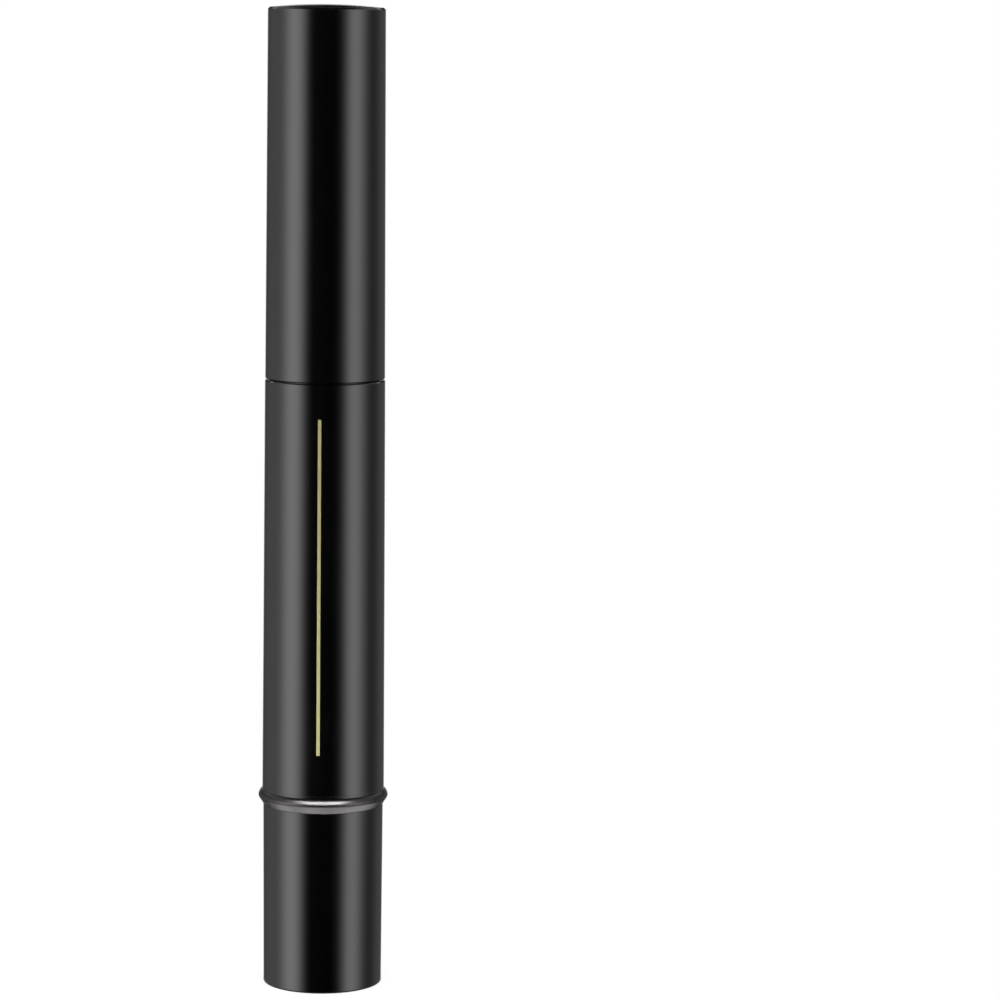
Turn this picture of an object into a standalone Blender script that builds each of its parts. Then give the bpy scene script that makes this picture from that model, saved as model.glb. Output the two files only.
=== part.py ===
"""A twist-up nail polish pen, standing on its knob with the cap on.

Metres, +Z up along the pen's axis, -Y to the front. The foot of the knob is at z = 0.
Turning the knob turns a keyed screw in a fixed nut, and the screw pushes a piston that
feeds polish through a tube into the brush. The cap lifts off along +Z.
"""

import math
import random

import bmesh
import bpy
from mathutils import Matrix

# Barrel
BARREL_RADIUS = 0.0080
BARREL_LENGTH = 0.0536
BARREL_TAPER = 0.00018
BARREL_WALL = 0.0009
BARREL_EDGE_ROUND = 0.00015

# Cap, whose length follows from the neck and the brush inside it
CAP_STEP = 0.00003
CAP_TAPER = 0.00020
CAP_WALL = 0.00065
CAP_TOP_WALL = 0.0012
CAP_EDGE_ROUND = 0.0004
CAP_CROWN = 0.00045
CAP_BEAD_HEIGHT = 0.0007
CAP_BEAD_LIFT = 0.0002

# Liner inside the cap, which seals round the neck's sleeve
INNER_CAP_WALL = 0.0007
INNER_CAP_TOP = 0.0010
INNER_CAP_FLANGE = 0.0012

# Knob
KNOB_LENGTH = 0.0239
KNOB_STEP = 0.00013
KNOB_TAPER = 0.0001
KNOB_WALL = 0.00087
KNOB_END_WALL = 0.0012
KNOB_EDGE_ROUND = 0.0004
CORE_WALL = 0.00055
CORE_FLOOR = 0.0009
CORE_BEAD_HEIGHT = 0.0009

# Trim ring between the knob and the barrel
RING_WIDTH = 0.0021
RING_PROUD = 0.00048
RING_CROWN = 0.0009

# Gold foil line, pressed into the barrel
FOIL_WIDTH = 0.00045
FOIL_THICKNESS = 0.00009
FOIL_TURN = math.radians(-5.0)
FOIL_TOP_MARGIN = 0.0045
FOIL_BOTTOM_MARGIN = 0.0054

# Polish reservoir
TUBE_WALL = 0.0008
NECK_SEAT_DEPTH = 0.0018

# Neck: heights are measured up from the barrel's top, and each step is a drop in radius
NECK_GROOVE_HEIGHT = 0.0037
NECK_GROOVE_WIDTH = 0.0014
NECK_GROOVE_STEP = 0.00045
NECK_BEAD_HEIGHT = 0.0050
NECK_BEAD_WIDTH = 0.0005
NECK_BEAD_STEP = 0.00014
NECK_BODY_HEIGHT = 0.0117
NECK_BODY_STEP = 0.00028
NECK_BODY_TAPER = 0.00022
NECK_EDGE_ROUND = 0.00035
SLEEVE_LENGTH = 0.0071
SLEEVE_STEP = 0.00136
SLEEVE_WALL = 0.0015
NECK_PLUG_LENGTH = 0.0060
NECK_PLUG_WALL = 0.0013
NECK_WEB_THICKNESS = 0.0015
NECK_WEB_HEIGHT = 0.0090
O_RING_SECTION = 0.00084
O_RING_INSET = 0.0020
O_RING_STRETCH = 0.00002

# Ferrule that holds the brush
FERRULE_FLANGE_HEIGHT = 0.00165
FERRULE_FLANGE_TAPER = 0.00045
FERRULE_EDGE_ROUND = 0.0003
CONE_LENGTH = 0.0141
CONE_BASE_STEP = 0.00070
CONE_TIP_RADIUS = 0.00240
CONE_SHOULDER_STEP = 0.00064
CONE_SHOULDER_DROP = 0.0036
CONE_TIP_POWER = 1.15
SPIGOT_LENGTH = 0.0060
FERRULE_HOLLOW_DEPTH = 0.0140
BRUSH_POCKET_DEPTH = 0.0026

# Brush
TUFT_RADIUS = 0.00190
TUFT_LENGTH = 0.0091
TUFT_TIP_RADIUS = 0.00015
TUFT_POWER = 2.5
TUFT_LEAN = 0.00038
TUFT_LEAN_POWER = 4.0
TUFT_SLICE = 0.0020
STRAND_PITCH = 0.00018
STRAND_RADIUS = 0.000067
STRAND_MARGIN = 0.0001
SHORTEST_STRAND = 0.66
STRAND_RAGGED = 0.04
FEED_TUBE_RADIUS = 0.0008
FEED_TUBE_WALL = 0.00035

# Twist mechanism
MECHANISM_FLANGE = 0.00125
PLUG_LENGTH = 0.0115
SKIRT_LENGTH = 0.0113
SKIRT_WALL = 0.00085
SKIRT_GROOVE_INSET = 0.0033
SKIRT_GROOVE_DEPTH = 0.00040
RING_SEAT_STEP = 0.00043
NUT_RADIUS = 0.0044
NUT_LENGTH = 0.0057
NUT_FLANGE_STEP = 0.0008
NUT_FLANGE_HEIGHT = 0.0011
ROTOR_LENGTH = 0.00425
ROTOR_DOG_DEPTH = 0.0013
ROTOR_DOG_WIDTH = 0.0014
RATCHET_LENGTH = 0.0030
RATCHET_WALL = 0.0006
RATCHET_TOOTH = 0.00055
RATCHET_SLOPE_SHARE = 0.8
ARM_WIDTH = 0.0005
ARM_HEIGHT = 0.0020
ARM_NOSE = 0.0002
ARM_SWEEP = math.radians(100.0)
DRIVE_TUBE_WALL = 0.0007

# Screw: a right-hand thread on a rod with two flats
ROD_RADIUS = 0.0020
THREAD_DEPTH = 0.00045
THREAD_LEAD = 0.0030
THREAD_ROOT_WIDTH = 0.0011
THREAD_CREST_WIDTH = 0.0006
ROD_FLAT_HALF_WIDTH = 0.0013
ROD_NECK_RADIUS = 0.0012
ROD_HEAD_RADIUS = 0.0018
ROD_HEAD_LENGTH = 0.0013

# Piston
PISTON_LENGTH = 0.0070
PISTON_LIP = 0.0009
PISTON_WAIST_STEP = 0.00055
PISTON_DISH = 0.0010
SOCKET_LIP = 0.0020

# Clearances between pieces
SEAT_GAP = 0.00005
SEAM_GAP = 0.00012
KNOB_GAP = 0.00006
PRESS_GAP = 0.00005
TUBE_GAP = 0.0001
WIPER_GAP = 0.00005
SNAP_GAP = 0.00007
CORE_GAP = 0.00007
CORE_REST_GAP = 0.0003
SKIRT_GAP = 0.0002
LINER_GAP = 0.00008
LINER_TOP_GAP = 0.0001
LINER_FOOT_GAP = 0.0002
BRUSH_ROOM = 0.0023
FOIL_GAP = 0.00005
THREAD_GAP = 0.00012
ROD_GAP = 0.00025
ROTOR_GAP = 0.0003
ARM_GAP = 0.00012
SOCKET_GAP = 0.0001
O_RING_ROOM = 0.0002
ROD_END_GAP = 0.0006
ROD_KEY_SPARE = 0.00156
THREAD_SPARE = 0.0006
PISTON_REST_GAP = 0.0010
STROKE_END_GAP = 0.00095

# Sides of the turned pieces, and other counts
SHELL_SIDES = 40
NECK_SIDES = 32
INNER_SIDES = 28
SMALL_SIDES = 14
EDGE_STEPS = 3
NECK_EDGE_STEPS = 2
RING_CROWN_STEPS = 8
CAP_CROWN_STEPS = 4
CONE_STEPS = 6
O_RING_STEPS = 6
THREAD_STEPS_PER_TURN = 14
KEY_STEPS = 8
RATCHET_TEETH = 16
ARM_STEPS = 8
STRAND_SIDES = 3
STRAND_STATIONS = (0.35, 0.70)
RANDOM_SEED = 7
SMOOTH_ANGLE = math.radians(32.0)

# Radii that follow from the barrel, from the outside in
barrel_top_radius = BARREL_RADIUS - BARREL_TAPER
cap_mouth_radius = barrel_top_radius - CAP_STEP
cap_top_radius = cap_mouth_radius - CAP_TAPER
knob_top_radius = BARREL_RADIUS - KNOB_STEP
knob_foot_radius = knob_top_radius - KNOB_TAPER
ring_radius = BARREL_RADIUS + RING_PROUD
barrel_bore = BARREL_RADIUS - BARREL_WALL
tube_radius = barrel_bore - TUBE_GAP
tube_bore = tube_radius - TUBE_WALL
piston_radius = tube_bore - WIPER_GAP
plug_radius = tube_bore - PRESS_GAP
flange_radius = barrel_bore - PRESS_GAP
ring_seat_radius = flange_radius - RING_SEAT_STEP
knob_bore = knob_foot_radius - KNOB_WALL
core_radius = knob_bore - CORE_GAP
core_bore = core_radius - CORE_WALL
skirt_radius = core_bore - SKIRT_GAP
skirt_bore = skirt_radius - SKIRT_WALL
ratchet_radius = skirt_bore - PRESS_GAP
ratchet_root = ratchet_radius - RATCHET_WALL
ratchet_crest = ratchet_root - RATCHET_TOOTH
nose_radius = ratchet_crest - ARM_GAP

# Radii that follow from the neck and the screw
neck_groove_radius = flange_radius - NECK_GROOVE_STEP
neck_bead_radius = flange_radius - NECK_BEAD_STEP
neck_body_radius = flange_radius - NECK_BODY_STEP
neck_top_radius = neck_body_radius - NECK_BODY_TAPER
sleeve_radius = neck_top_radius - SLEEVE_STEP
sleeve_bore = sleeve_radius - SLEEVE_WALL
spigot_radius = sleeve_bore - PRESS_GAP
ferrule_radius = sleeve_radius - PRESS_GAP
cone_base_radius = ferrule_radius - FERRULE_FLANGE_TAPER - CONE_BASE_STEP
pocket_radius = TUFT_RADIUS + PRESS_GAP
feed_hole_radius = FEED_TUBE_RADIUS + PRESS_GAP
liner_bore = sleeve_radius + LINER_GAP
liner_radius = liner_bore + INNER_CAP_WALL
rod_root_radius = ROD_RADIUS - THREAD_DEPTH
drive_tube_bore = ROD_RADIUS + ROD_GAP
drive_tube_radius = drive_tube_bore + DRIVE_TUBE_WALL

# Heights, from the foot up
ring_bottom = KNOB_LENGTH + KNOB_GAP
ring_top = ring_bottom + RING_WIDTH
barrel_bottom = ring_top + SEAT_GAP
barrel_top = barrel_bottom + BARREL_LENGTH
flange_top = barrel_bottom + MECHANISM_FLANGE
tube_bottom = flange_top + SEAT_GAP
tube_top = barrel_top - NECK_SEAT_DEPTH - SEAT_GAP
neck_seat = barrel_top - NECK_SEAT_DEPTH
neck_plug_bottom = neck_seat - NECK_PLUG_LENGTH
neck_body_top = barrel_top + NECK_BODY_HEIGHT
web_top = barrel_top + NECK_WEB_HEIGHT + NECK_WEB_THICKNESS
web_bottom = barrel_top + NECK_WEB_HEIGHT
sleeve_top = neck_body_top + SLEEVE_LENGTH
ferrule_bottom = sleeve_top + SEAT_GAP
cone_bottom = ferrule_bottom + FERRULE_FLANGE_HEIGHT
cone_top = cone_bottom + CONE_LENGTH
pocket_floor = cone_top - BRUSH_POCKET_DEPTH
brush_tip = cone_top + TUFT_LENGTH
liner_bottom = neck_body_top + LINER_FOOT_GAP
liner_ceiling = brush_tip + BRUSH_ROOM
liner_top = liner_ceiling + INNER_CAP_TOP
cap_ceiling = liner_top + LINER_TOP_GAP
cap_mouth = barrel_top + SEAM_GAP
cap_top = cap_ceiling + CAP_TOP_WALL
foil_bottom = barrel_bottom + FOIL_BOTTOM_MARGIN
foil_top = barrel_top - FOIL_TOP_MARGIN

# Heights of the mechanism
plug_top = flange_top + PLUG_LENGTH
skirt_bottom = KNOB_LENGTH - SKIRT_LENGTH + SEAT_GAP
skirt_groove = skirt_bottom + SKIRT_GROOVE_INSET
nut_top = plug_top - SEAT_GAP
nut_bottom = nut_top - NUT_LENGTH
rotor_top = nut_bottom - ROTOR_GAP
rotor_bottom = rotor_top - ROTOR_LENGTH
ratchet_bottom = rotor_bottom + SEAT_GAP
ratchet_top = ratchet_bottom + RATCHET_LENGTH
core_bottom = KNOB_END_WALL + CORE_REST_GAP
core_floor_top = core_bottom + CORE_FLOOR
core_top = KNOB_LENGTH - SEAT_GAP
drive_tube_top = rotor_bottom - SEAT_GAP
piston_bottom = plug_top + PISTON_REST_GAP
piston_top = piston_bottom + PISTON_LENGTH
rod_bottom = core_floor_top + ROD_END_GAP
socket_bottom = piston_bottom + SOCKET_LIP
head_bottom = socket_bottom + SOCKET_GAP
head_top = head_bottom + ROD_HEAD_LENGTH
thread_top = (plug_top + piston_bottom) / 2

# The piston's stroke is the smaller of the room below the screw and the room above the piston
room_below = rotor_bottom - ROD_KEY_SPARE - rod_bottom
room_above = neck_plug_bottom - STROKE_END_GAP - piston_top
stroke = min(room_below, room_above)
thread_bottom = nut_bottom - stroke - THREAD_SPARE

# Each sub-part's colour (linear), roughness and metallic value
BLACK_GLOSS = ((0.006, 0.006, 0.007), 0.16, 0.0)
FINISHES = {
    "cap_shell": BLACK_GLOSS,
    "barrel_shell": BLACK_GLOSS,
    "knob_shell": BLACK_GLOSS,
    "neck_housing": ((0.008, 0.008, 0.008), 0.24, 0.0),
    "brush_ferrule": ((0.008, 0.008, 0.008), 0.22, 0.0),
    "trim_ring": ((0.16, 0.15, 0.16), 0.14, 1.0),
    "foil_line": ((0.66, 0.55, 0.22), 0.26, 1.0),
    "bristle_tuft": ((1.0, 0.17, 0.33), 0.38, 0.0),
    "feed_tube": ((0.82, 0.82, 0.80), 0.35, 0.0),
    "inner_cap": ((0.72, 0.72, 0.70), 0.42, 0.0),
    "reservoir_tube": ((0.78, 0.78, 0.76), 0.30, 0.0),
    "neck_o_ring": ((0.02, 0.02, 0.02), 0.55, 0.0),
    "mechanism_housing": ((0.62, 0.62, 0.60), 0.42, 0.0),
    "rod_nut": ((0.58, 0.60, 0.62), 0.40, 0.0),
    "ratchet_ring": ((0.50, 0.52, 0.55), 0.40, 0.0),
    "click_rotor": ((0.80, 0.80, 0.78), 0.38, 0.0),
    "knob_core": ((0.10, 0.10, 0.10), 0.45, 0.0),
    "piston_rod": ((0.75, 0.75, 0.73), 0.36, 0.0),
    "piston": ((0.85, 0.85, 0.84), 0.40, 0.0),
}

# The bodies that move, each with the height of its parent empty on the pen's axis
BODY_ORIGINS = {
    "barrel_body": 0.0,
    "knob_body": KNOB_LENGTH,
    "rod_body": rod_bottom,
    "piston_body": piston_bottom,
    "cap_body": cap_mouth,
}


# Helpers


def clear_scene():
    for obj in list(bpy.data.objects):
        bpy.data.objects.remove(obj, do_unlink=True)


def material_of(name):
    colour, roughness, metallic = FINISHES[name]
    material = bpy.data.materials.new(name)
    material.use_nodes = True
    shader = material.node_tree.nodes["Principled BSDF"]
    shader.inputs["Base Color"].default_value = (*colour, 1.0)
    shader.inputs["Roughness"].default_value = roughness
    shader.inputs["Metallic"].default_value = metallic
    material.diffuse_color = (*colour, 1.0)
    return material


def add_object(name, bm, parent=None):
    """Turn a bmesh in world coordinates into an object whose origin is its parent empty's."""
    height = BODY_ORIGINS[parent.name] if parent else 0.0
    bmesh.ops.translate(bm, verts=bm.verts, vec=(0.0, 0.0, -height))
    bmesh.ops.recalc_face_normals(bm, faces=bm.faces)
    mesh = bpy.data.meshes.new(name)
    bm.to_mesh(mesh)
    bm.free()
    mesh.shade_smooth()
    mesh.set_sharp_from_angle(angle=SMOOTH_ANGLE)
    obj = bpy.data.objects.new(name, mesh)
    bpy.context.scene.collection.objects.link(obj)
    obj.parent = parent
    return obj


def add_part(name, bm, parent):
    obj = add_object(name, bm, parent)
    obj.data.materials.append(material_of(name))
    return obj


def boolean(obj, other, operation):
    """Join, cut or keep by a helper object, which stays in the scene as a wire."""
    other.hide_render = True
    other.display_type = "WIRE"
    modifier = obj.modifiers.new(operation.title(), "BOOLEAN")
    modifier.object = other
    modifier.operation = operation
    modifier.solver = "EXACT"


def arc(centre_r, centre_z, radius, start, end, steps):
    """Points of an arc in the r-z plane, from one angle to the other in degrees."""
    points = []
    for i in range(steps + 1):
        angle = math.radians(start + (end - start) * i / steps)
        points.append((centre_r + radius * math.cos(angle), centre_z + radius * math.sin(angle)))
    return points


def turned(profile, sides, phase=0.0):
    """Turn a closed r-z profile about the Z axis. Points on the axis become single vertices."""
    bm = bmesh.new()
    rings = []
    for radius, height in profile:
        if radius == 0.0:
            rings.append([bm.verts.new((0.0, 0.0, height))])
            continue
        ring = []
        for i in range(sides):
            x, y = polar(radius, phase + 2 * math.pi * i / sides)
            ring.append(bm.verts.new((x, y, height)))
        rings.append(ring)
    for lower, upper in zip(rings, rings[1:] + rings[:1]):
        if len(lower) == 1 and len(upper) == 1:
            continue
        for i in range(sides):
            j = (i + 1) % sides
            if len(lower) == 1:
                bm.faces.new((lower[0], upper[j], upper[i]))
            elif len(upper) == 1:
                bm.faces.new((lower[i], lower[j], upper[0]))
            else:
                bm.faces.new((lower[i], lower[j], upper[j], upper[i]))
    return bm


def turned_core(profile):
    """A turned solid for a thread, with its corners midway between the thread's stations."""
    return turned(profile, THREAD_STEPS_PER_TURN, math.pi / THREAD_STEPS_PER_TURN)


def prism(outline, bottom, top):
    """A straight solid with an x-y outline."""
    bm = bmesh.new()
    low = [bm.verts.new((x, y, bottom)) for x, y in outline]
    high = [bm.verts.new((x, y, top)) for x, y in outline]
    bm.faces.new(low)
    bm.faces.new(high)
    for i in range(len(outline)):
        j = (i + 1) % len(outline)
        bm.faces.new((low[i], low[j], high[j], high[i]))
    return bm


def box(x, y, z):
    """A box from three (low, high) pairs."""
    return prism([(x[0], y[0]), (x[1], y[0]), (x[1], y[1]), (x[0], y[1])], z[0], z[1])


def polar(radius, angle):
    return (radius * math.cos(angle), radius * math.sin(angle))


# Cap


def cap_bore_at(height):
    """The cap's inside radius, which tapers with its outside."""
    share = (height - cap_mouth) / (cap_top - cap_mouth)
    return cap_mouth_radius - CAP_WALL - CAP_TAPER * share


def add_cap_shell(parent):
    bead = barrel_top + NECK_GROOVE_HEIGHT + CAP_BEAD_LIFT
    half = CAP_BEAD_HEIGHT / 2
    bead_radius = neck_bead_radius + SNAP_GAP
    corner = CAP_EDGE_ROUND
    lead_in = CAP_WALL / 5
    profile = [(cap_bore_at(cap_mouth) + lead_in, cap_mouth), (cap_mouth_radius - lead_in, cap_mouth)]
    profile += [(cap_mouth_radius, cap_mouth + lead_in)]
    flat = cap_top_radius - corner
    profile += arc(flat, cap_top - CAP_CROWN - corner, corner, 0, 90, EDGE_STEPS)
    for i in range(1, CAP_CROWN_STEPS + 1):
        share = 1 - i / CAP_CROWN_STEPS
        profile.append((flat * share, cap_top - CAP_CROWN * share**2))
    profile += [(0.0, cap_ceiling), (cap_bore_at(cap_ceiling), cap_ceiling)]
    profile += [(cap_bore_at(bead + 2 * half), bead + 2 * half), (bead_radius, bead + half)]
    profile += [(bead_radius, bead - half), (cap_bore_at(bead - 2 * half), bead - 2 * half)]
    profile += [(cap_bore_at(cap_mouth), cap_mouth + lead_in)]
    return add_part("cap_shell", turned(profile, SHELL_SIDES), parent)


def add_inner_cap(parent):
    foot = cap_bore_at(liner_bottom + INNER_CAP_FLANGE) - LINER_GAP
    crown = cap_bore_at(liner_top) - LINER_GAP
    profile = [
        (liner_bore + LINER_GAP, liner_bottom),
        (foot, liner_bottom),
        (foot, liner_bottom + INNER_CAP_FLANGE),
        (liner_radius, liner_bottom + INNER_CAP_FLANGE),
        (liner_radius, liner_top - INNER_CAP_TOP),
        (crown, liner_top - INNER_CAP_TOP),
        (crown, liner_top),
        (0.0, liner_top),
        (0.0, liner_ceiling),
        (liner_bore, liner_ceiling),
        (liner_bore, liner_bottom + LINER_GAP),
    ]
    return add_part("inner_cap", turned(profile, INNER_SIDES), parent)


# Barrel and its trim


def add_barrel_shell(parent):
    rounding = BARREL_EDGE_ROUND
    chamfer = BARREL_WALL / 6
    shoulder = barrel_bottom + chamfer
    profile = [(barrel_bore, barrel_bottom), (BARREL_RADIUS - chamfer, barrel_bottom)]
    profile += [(barrel_radius_at(shoulder), shoulder)]
    profile += arc(barrel_top_radius - rounding, barrel_top - rounding, rounding, 0, 90, EDGE_STEPS)
    profile += [(barrel_bore, barrel_top)]
    shell = add_part("barrel_shell", turned(profile, SHELL_SIDES), parent)
    depth = FOIL_THICKNESS + FOIL_GAP
    groove = foil_strip(FOIL_WIDTH + 2 * FOIL_GAP, depth, depth, FOIL_GAP)
    boolean(shell, add_object("foil_groove_cutter", groove), "DIFFERENCE")
    return shell


def barrel_radius_at(height):
    """The barrel's outside radius, which tapers evenly towards the top."""
    return BARREL_RADIUS - BARREL_TAPER * (height - barrel_bottom) / BARREL_LENGTH


def foil_strip(width, depth, proud, margin):
    """A strip that follows a flat of the barrel, turned a little to the left of the front."""
    ends = (foil_bottom - margin, foil_top + margin)
    bm = box((-width / 2, width / 2), (-proud, depth), ends)
    for vert in bm.verts:
        vert.co.y -= barrel_radius_at(vert.co.z) * math.cos(math.pi / SHELL_SIDES)
    turn = Matrix.Rotation(FOIL_TURN, 4, "Z")
    bmesh.ops.transform(bm, matrix=turn, verts=bm.verts)
    return bm


def add_foil_line(parent):
    """The foil's face lies level with the middle of a flat on the barrel."""
    strip = foil_strip(FOIL_WIDTH, FOIL_THICKNESS, 0.0, 0.0)
    return add_part("foil_line", strip, parent)


def add_trim_ring(parent):
    """A half-round band, seated between the barrel and the knob."""
    middle = (ring_bottom + ring_top) / 2
    shoulder = ring_radius - RING_CROWN
    bore = ring_seat_radius + PRESS_GAP
    profile = [(bore, ring_top), (bore, ring_bottom)]
    for i in range(RING_CROWN_STEPS + 1):
        angle = math.radians(-90 + 180 * i / RING_CROWN_STEPS)
        profile.append(
            (shoulder + RING_CROWN * math.cos(angle), middle + RING_WIDTH / 2 * math.sin(angle))
        )
    return add_part("trim_ring", turned(profile, SHELL_SIDES), parent)


# Reservoir and neck


def add_reservoir_tube(parent):
    profile = [
        (tube_bore, tube_bottom),
        (tube_radius, tube_bottom),
        (tube_radius, tube_top),
        (tube_bore, tube_top),
    ]
    return add_part("reservoir_tube", turned(profile, INNER_SIDES), parent)


def o_ring_centre():
    """(radius, height) of the middle of the O-ring's section."""
    return plug_radius - O_RING_SECTION / 2, neck_plug_bottom + O_RING_INSET


def add_neck_housing(parent):
    """The neck: plug, flange, snap groove and bead, body, and sleeve for the ferrule."""
    ring_r, ring_z = o_ring_centre()
    gland_floor = ring_r - O_RING_SECTION / 2 - O_RING_STRETCH
    gland_half = (O_RING_SECTION + O_RING_ROOM) / 2
    groove = barrel_top + NECK_GROOVE_HEIGHT
    bead = barrel_top + NECK_BEAD_HEIGHT
    body = neck_body_radius
    plug_bore = plug_radius - NECK_PLUG_WALL
    body_foot = bead + (NECK_BEAD_WIDTH + NECK_GROOVE_WIDTH) / 2
    profile = [(plug_bore, neck_plug_bottom), (plug_radius, neck_plug_bottom)]
    profile += [(plug_radius, ring_z - gland_half), (gland_floor, ring_z - gland_half)]
    profile += [(gland_floor, ring_z + gland_half), (plug_radius, ring_z + gland_half)]
    profile += [(plug_radius, neck_seat), (flange_radius, neck_seat)]
    profile += [(flange_radius, groove - NECK_GROOVE_WIDTH / 2)]
    profile += [(neck_groove_radius, groove + NECK_GROOVE_WIDTH / 2)]
    profile += [(neck_bead_radius, bead - NECK_BEAD_WIDTH / 2)]
    profile += [(neck_bead_radius, bead + NECK_BEAD_WIDTH / 2), (body, body_foot)]
    corner = NECK_EDGE_ROUND
    profile += arc(neck_top_radius - corner, neck_body_top - corner, corner, 0, 90, NECK_EDGE_STEPS)
    profile += [(sleeve_radius, neck_body_top), (sleeve_radius, sleeve_top)]
    profile += [(sleeve_bore, sleeve_top), (sleeve_bore, web_top), (feed_hole_radius, web_top)]
    profile += [(feed_hole_radius, web_bottom), (plug_bore, web_bottom)]
    return add_part("neck_housing", turned(profile, NECK_SIDES), parent)


def add_neck_o_ring(parent):
    ring_r, ring_z = o_ring_centre()
    profile = arc(ring_r, ring_z, O_RING_SECTION / 2, 0, 360, O_RING_STEPS)[:-1]
    return add_part("neck_o_ring", turned(profile, INNER_SIDES), parent)


# Ferrule, feed tube and brush


def cone_radius_at(height):
    """The cone runs straight to a soft shoulder near its tip, then draws in faster."""
    shoulder_radius = CONE_TIP_RADIUS + CONE_SHOULDER_STEP
    shoulder_height = CONE_LENGTH - CONE_SHOULDER_DROP
    if height < shoulder_height:
        return cone_base_radius + (shoulder_radius - cone_base_radius) * height / shoulder_height
    share = (height - shoulder_height) / CONE_SHOULDER_DROP
    return shoulder_radius - CONE_SHOULDER_STEP * share**CONE_TIP_POWER


def add_brush_ferrule(parent):
    """A flange that continues the sleeve, a slender cone for the brush, and a spigot."""
    corner = FERRULE_EDGE_ROUND
    shoulder = ferrule_radius - FERRULE_FLANGE_TAPER
    hollow_top = sleeve_top - SPIGOT_LENGTH + FERRULE_HOLLOW_DEPTH
    hollow = CONE_TIP_RADIUS
    spigot_bottom = sleeve_top - SPIGOT_LENGTH
    profile = [(hollow, spigot_bottom), (spigot_radius, spigot_bottom)]
    profile += [(spigot_radius, ferrule_bottom), (ferrule_radius, ferrule_bottom)]
    profile += [(ferrule_radius, ferrule_bottom + FERRULE_FLANGE_HEIGHT / 2)]
    profile += arc(shoulder - corner, cone_bottom - corner, corner, 0, 90, NECK_EDGE_STEPS)
    for i in range(CONE_STEPS + 1):
        height = (CONE_LENGTH - corner) * i / CONE_STEPS
        profile.append((cone_radius_at(height), cone_bottom + height))
    profile += [(CONE_TIP_RADIUS - corner, cone_top), (pocket_radius, cone_top)]
    profile += [(pocket_radius, pocket_floor), (feed_hole_radius, pocket_floor)]
    profile += [(feed_hole_radius, hollow_top), (hollow, hollow_top - hollow)]
    return add_part("brush_ferrule", turned(profile, NECK_SIDES), parent)


def add_feed_tube(parent):
    bore = FEED_TUBE_RADIUS - FEED_TUBE_WALL
    bottom = web_bottom
    top = pocket_floor + TUFT_SLICE / 2
    profile = [(bore, bottom), (FEED_TUBE_RADIUS, bottom), (FEED_TUBE_RADIUS, top), (bore, top)]
    return add_part("feed_tube", turned(profile, SMALL_SIDES), parent)


def tuft_radius_at(share):
    """The tuft's outline: full at the ferrule, closing to a fine round point."""
    full = TUFT_RADIUS * (1 - share**TUFT_POWER)
    return max(full, TUFT_TIP_RADIUS)


def tuft_scale_at(share):
    """How far the strands are drawn in at a height, so that the longest of them keep the outline.

    The outer strands end first, so the ones that are left are drawn in less than the outline.
    """
    ended = min(1.0, math.sqrt((1 - share) / (1 - SHORTEST_STRAND)))
    innermost = (FEED_TUBE_RADIUS - FEED_TUBE_WALL + STRAND_PITCH) / TUFT_RADIUS
    return tuft_radius_at(share) / (TUFT_RADIUS * max(ended, innermost))


def add_strand(bm, root, end, turn, foot):
    """One tapering strand from its root (x, y) to a point at a share of the tuft's length."""
    bottom = foot + TUFT_SLICE - STRAND_PITCH
    span = brush_tip - bottom
    rings = []
    for share in (0.0, *STRAND_STATIONS):
        if share >= end:
            break
        scale = tuft_scale_at(share)
        thickness = STRAND_RADIUS * scale
        x = root[0] * scale - TUFT_LEAN * share**TUFT_LEAN_POWER
        y = root[1] * scale
        ring = []
        for i in range(STRAND_SIDES):
            dx, dy = polar(thickness, turn + 2 * math.pi * i / STRAND_SIDES)
            ring.append(bm.verts.new((x + dx, y + dy, bottom + span * share)))
        rings.append(ring)
    stations = (0.0, *STRAND_STATIONS, 1.0)
    low = max(s for s in stations if s < end)
    high = min(s for s in stations if s >= end)
    between = (end - low) / (high - low)
    scale = tuft_scale_at(low) + (tuft_scale_at(high) - tuft_scale_at(low)) * between
    leans = (low**TUFT_LEAN_POWER, high**TUFT_LEAN_POWER)
    lean = TUFT_LEAN * (leans[0] + (leans[1] - leans[0]) * between)
    point = bm.verts.new((root[0] * scale - lean, root[1] * scale, bottom + span * end))
    bm.faces.new(rings[0])
    for lower, upper in zip(rings, rings[1:]):
        for i in range(STRAND_SIDES):
            j = (i + 1) % STRAND_SIDES
            bm.faces.new((lower[i], lower[j], upper[j], upper[i]))
    for i in range(STRAND_SIDES):
        bm.faces.new((rings[-1][i], rings[-1][(i + 1) % STRAND_SIDES], point))


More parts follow.
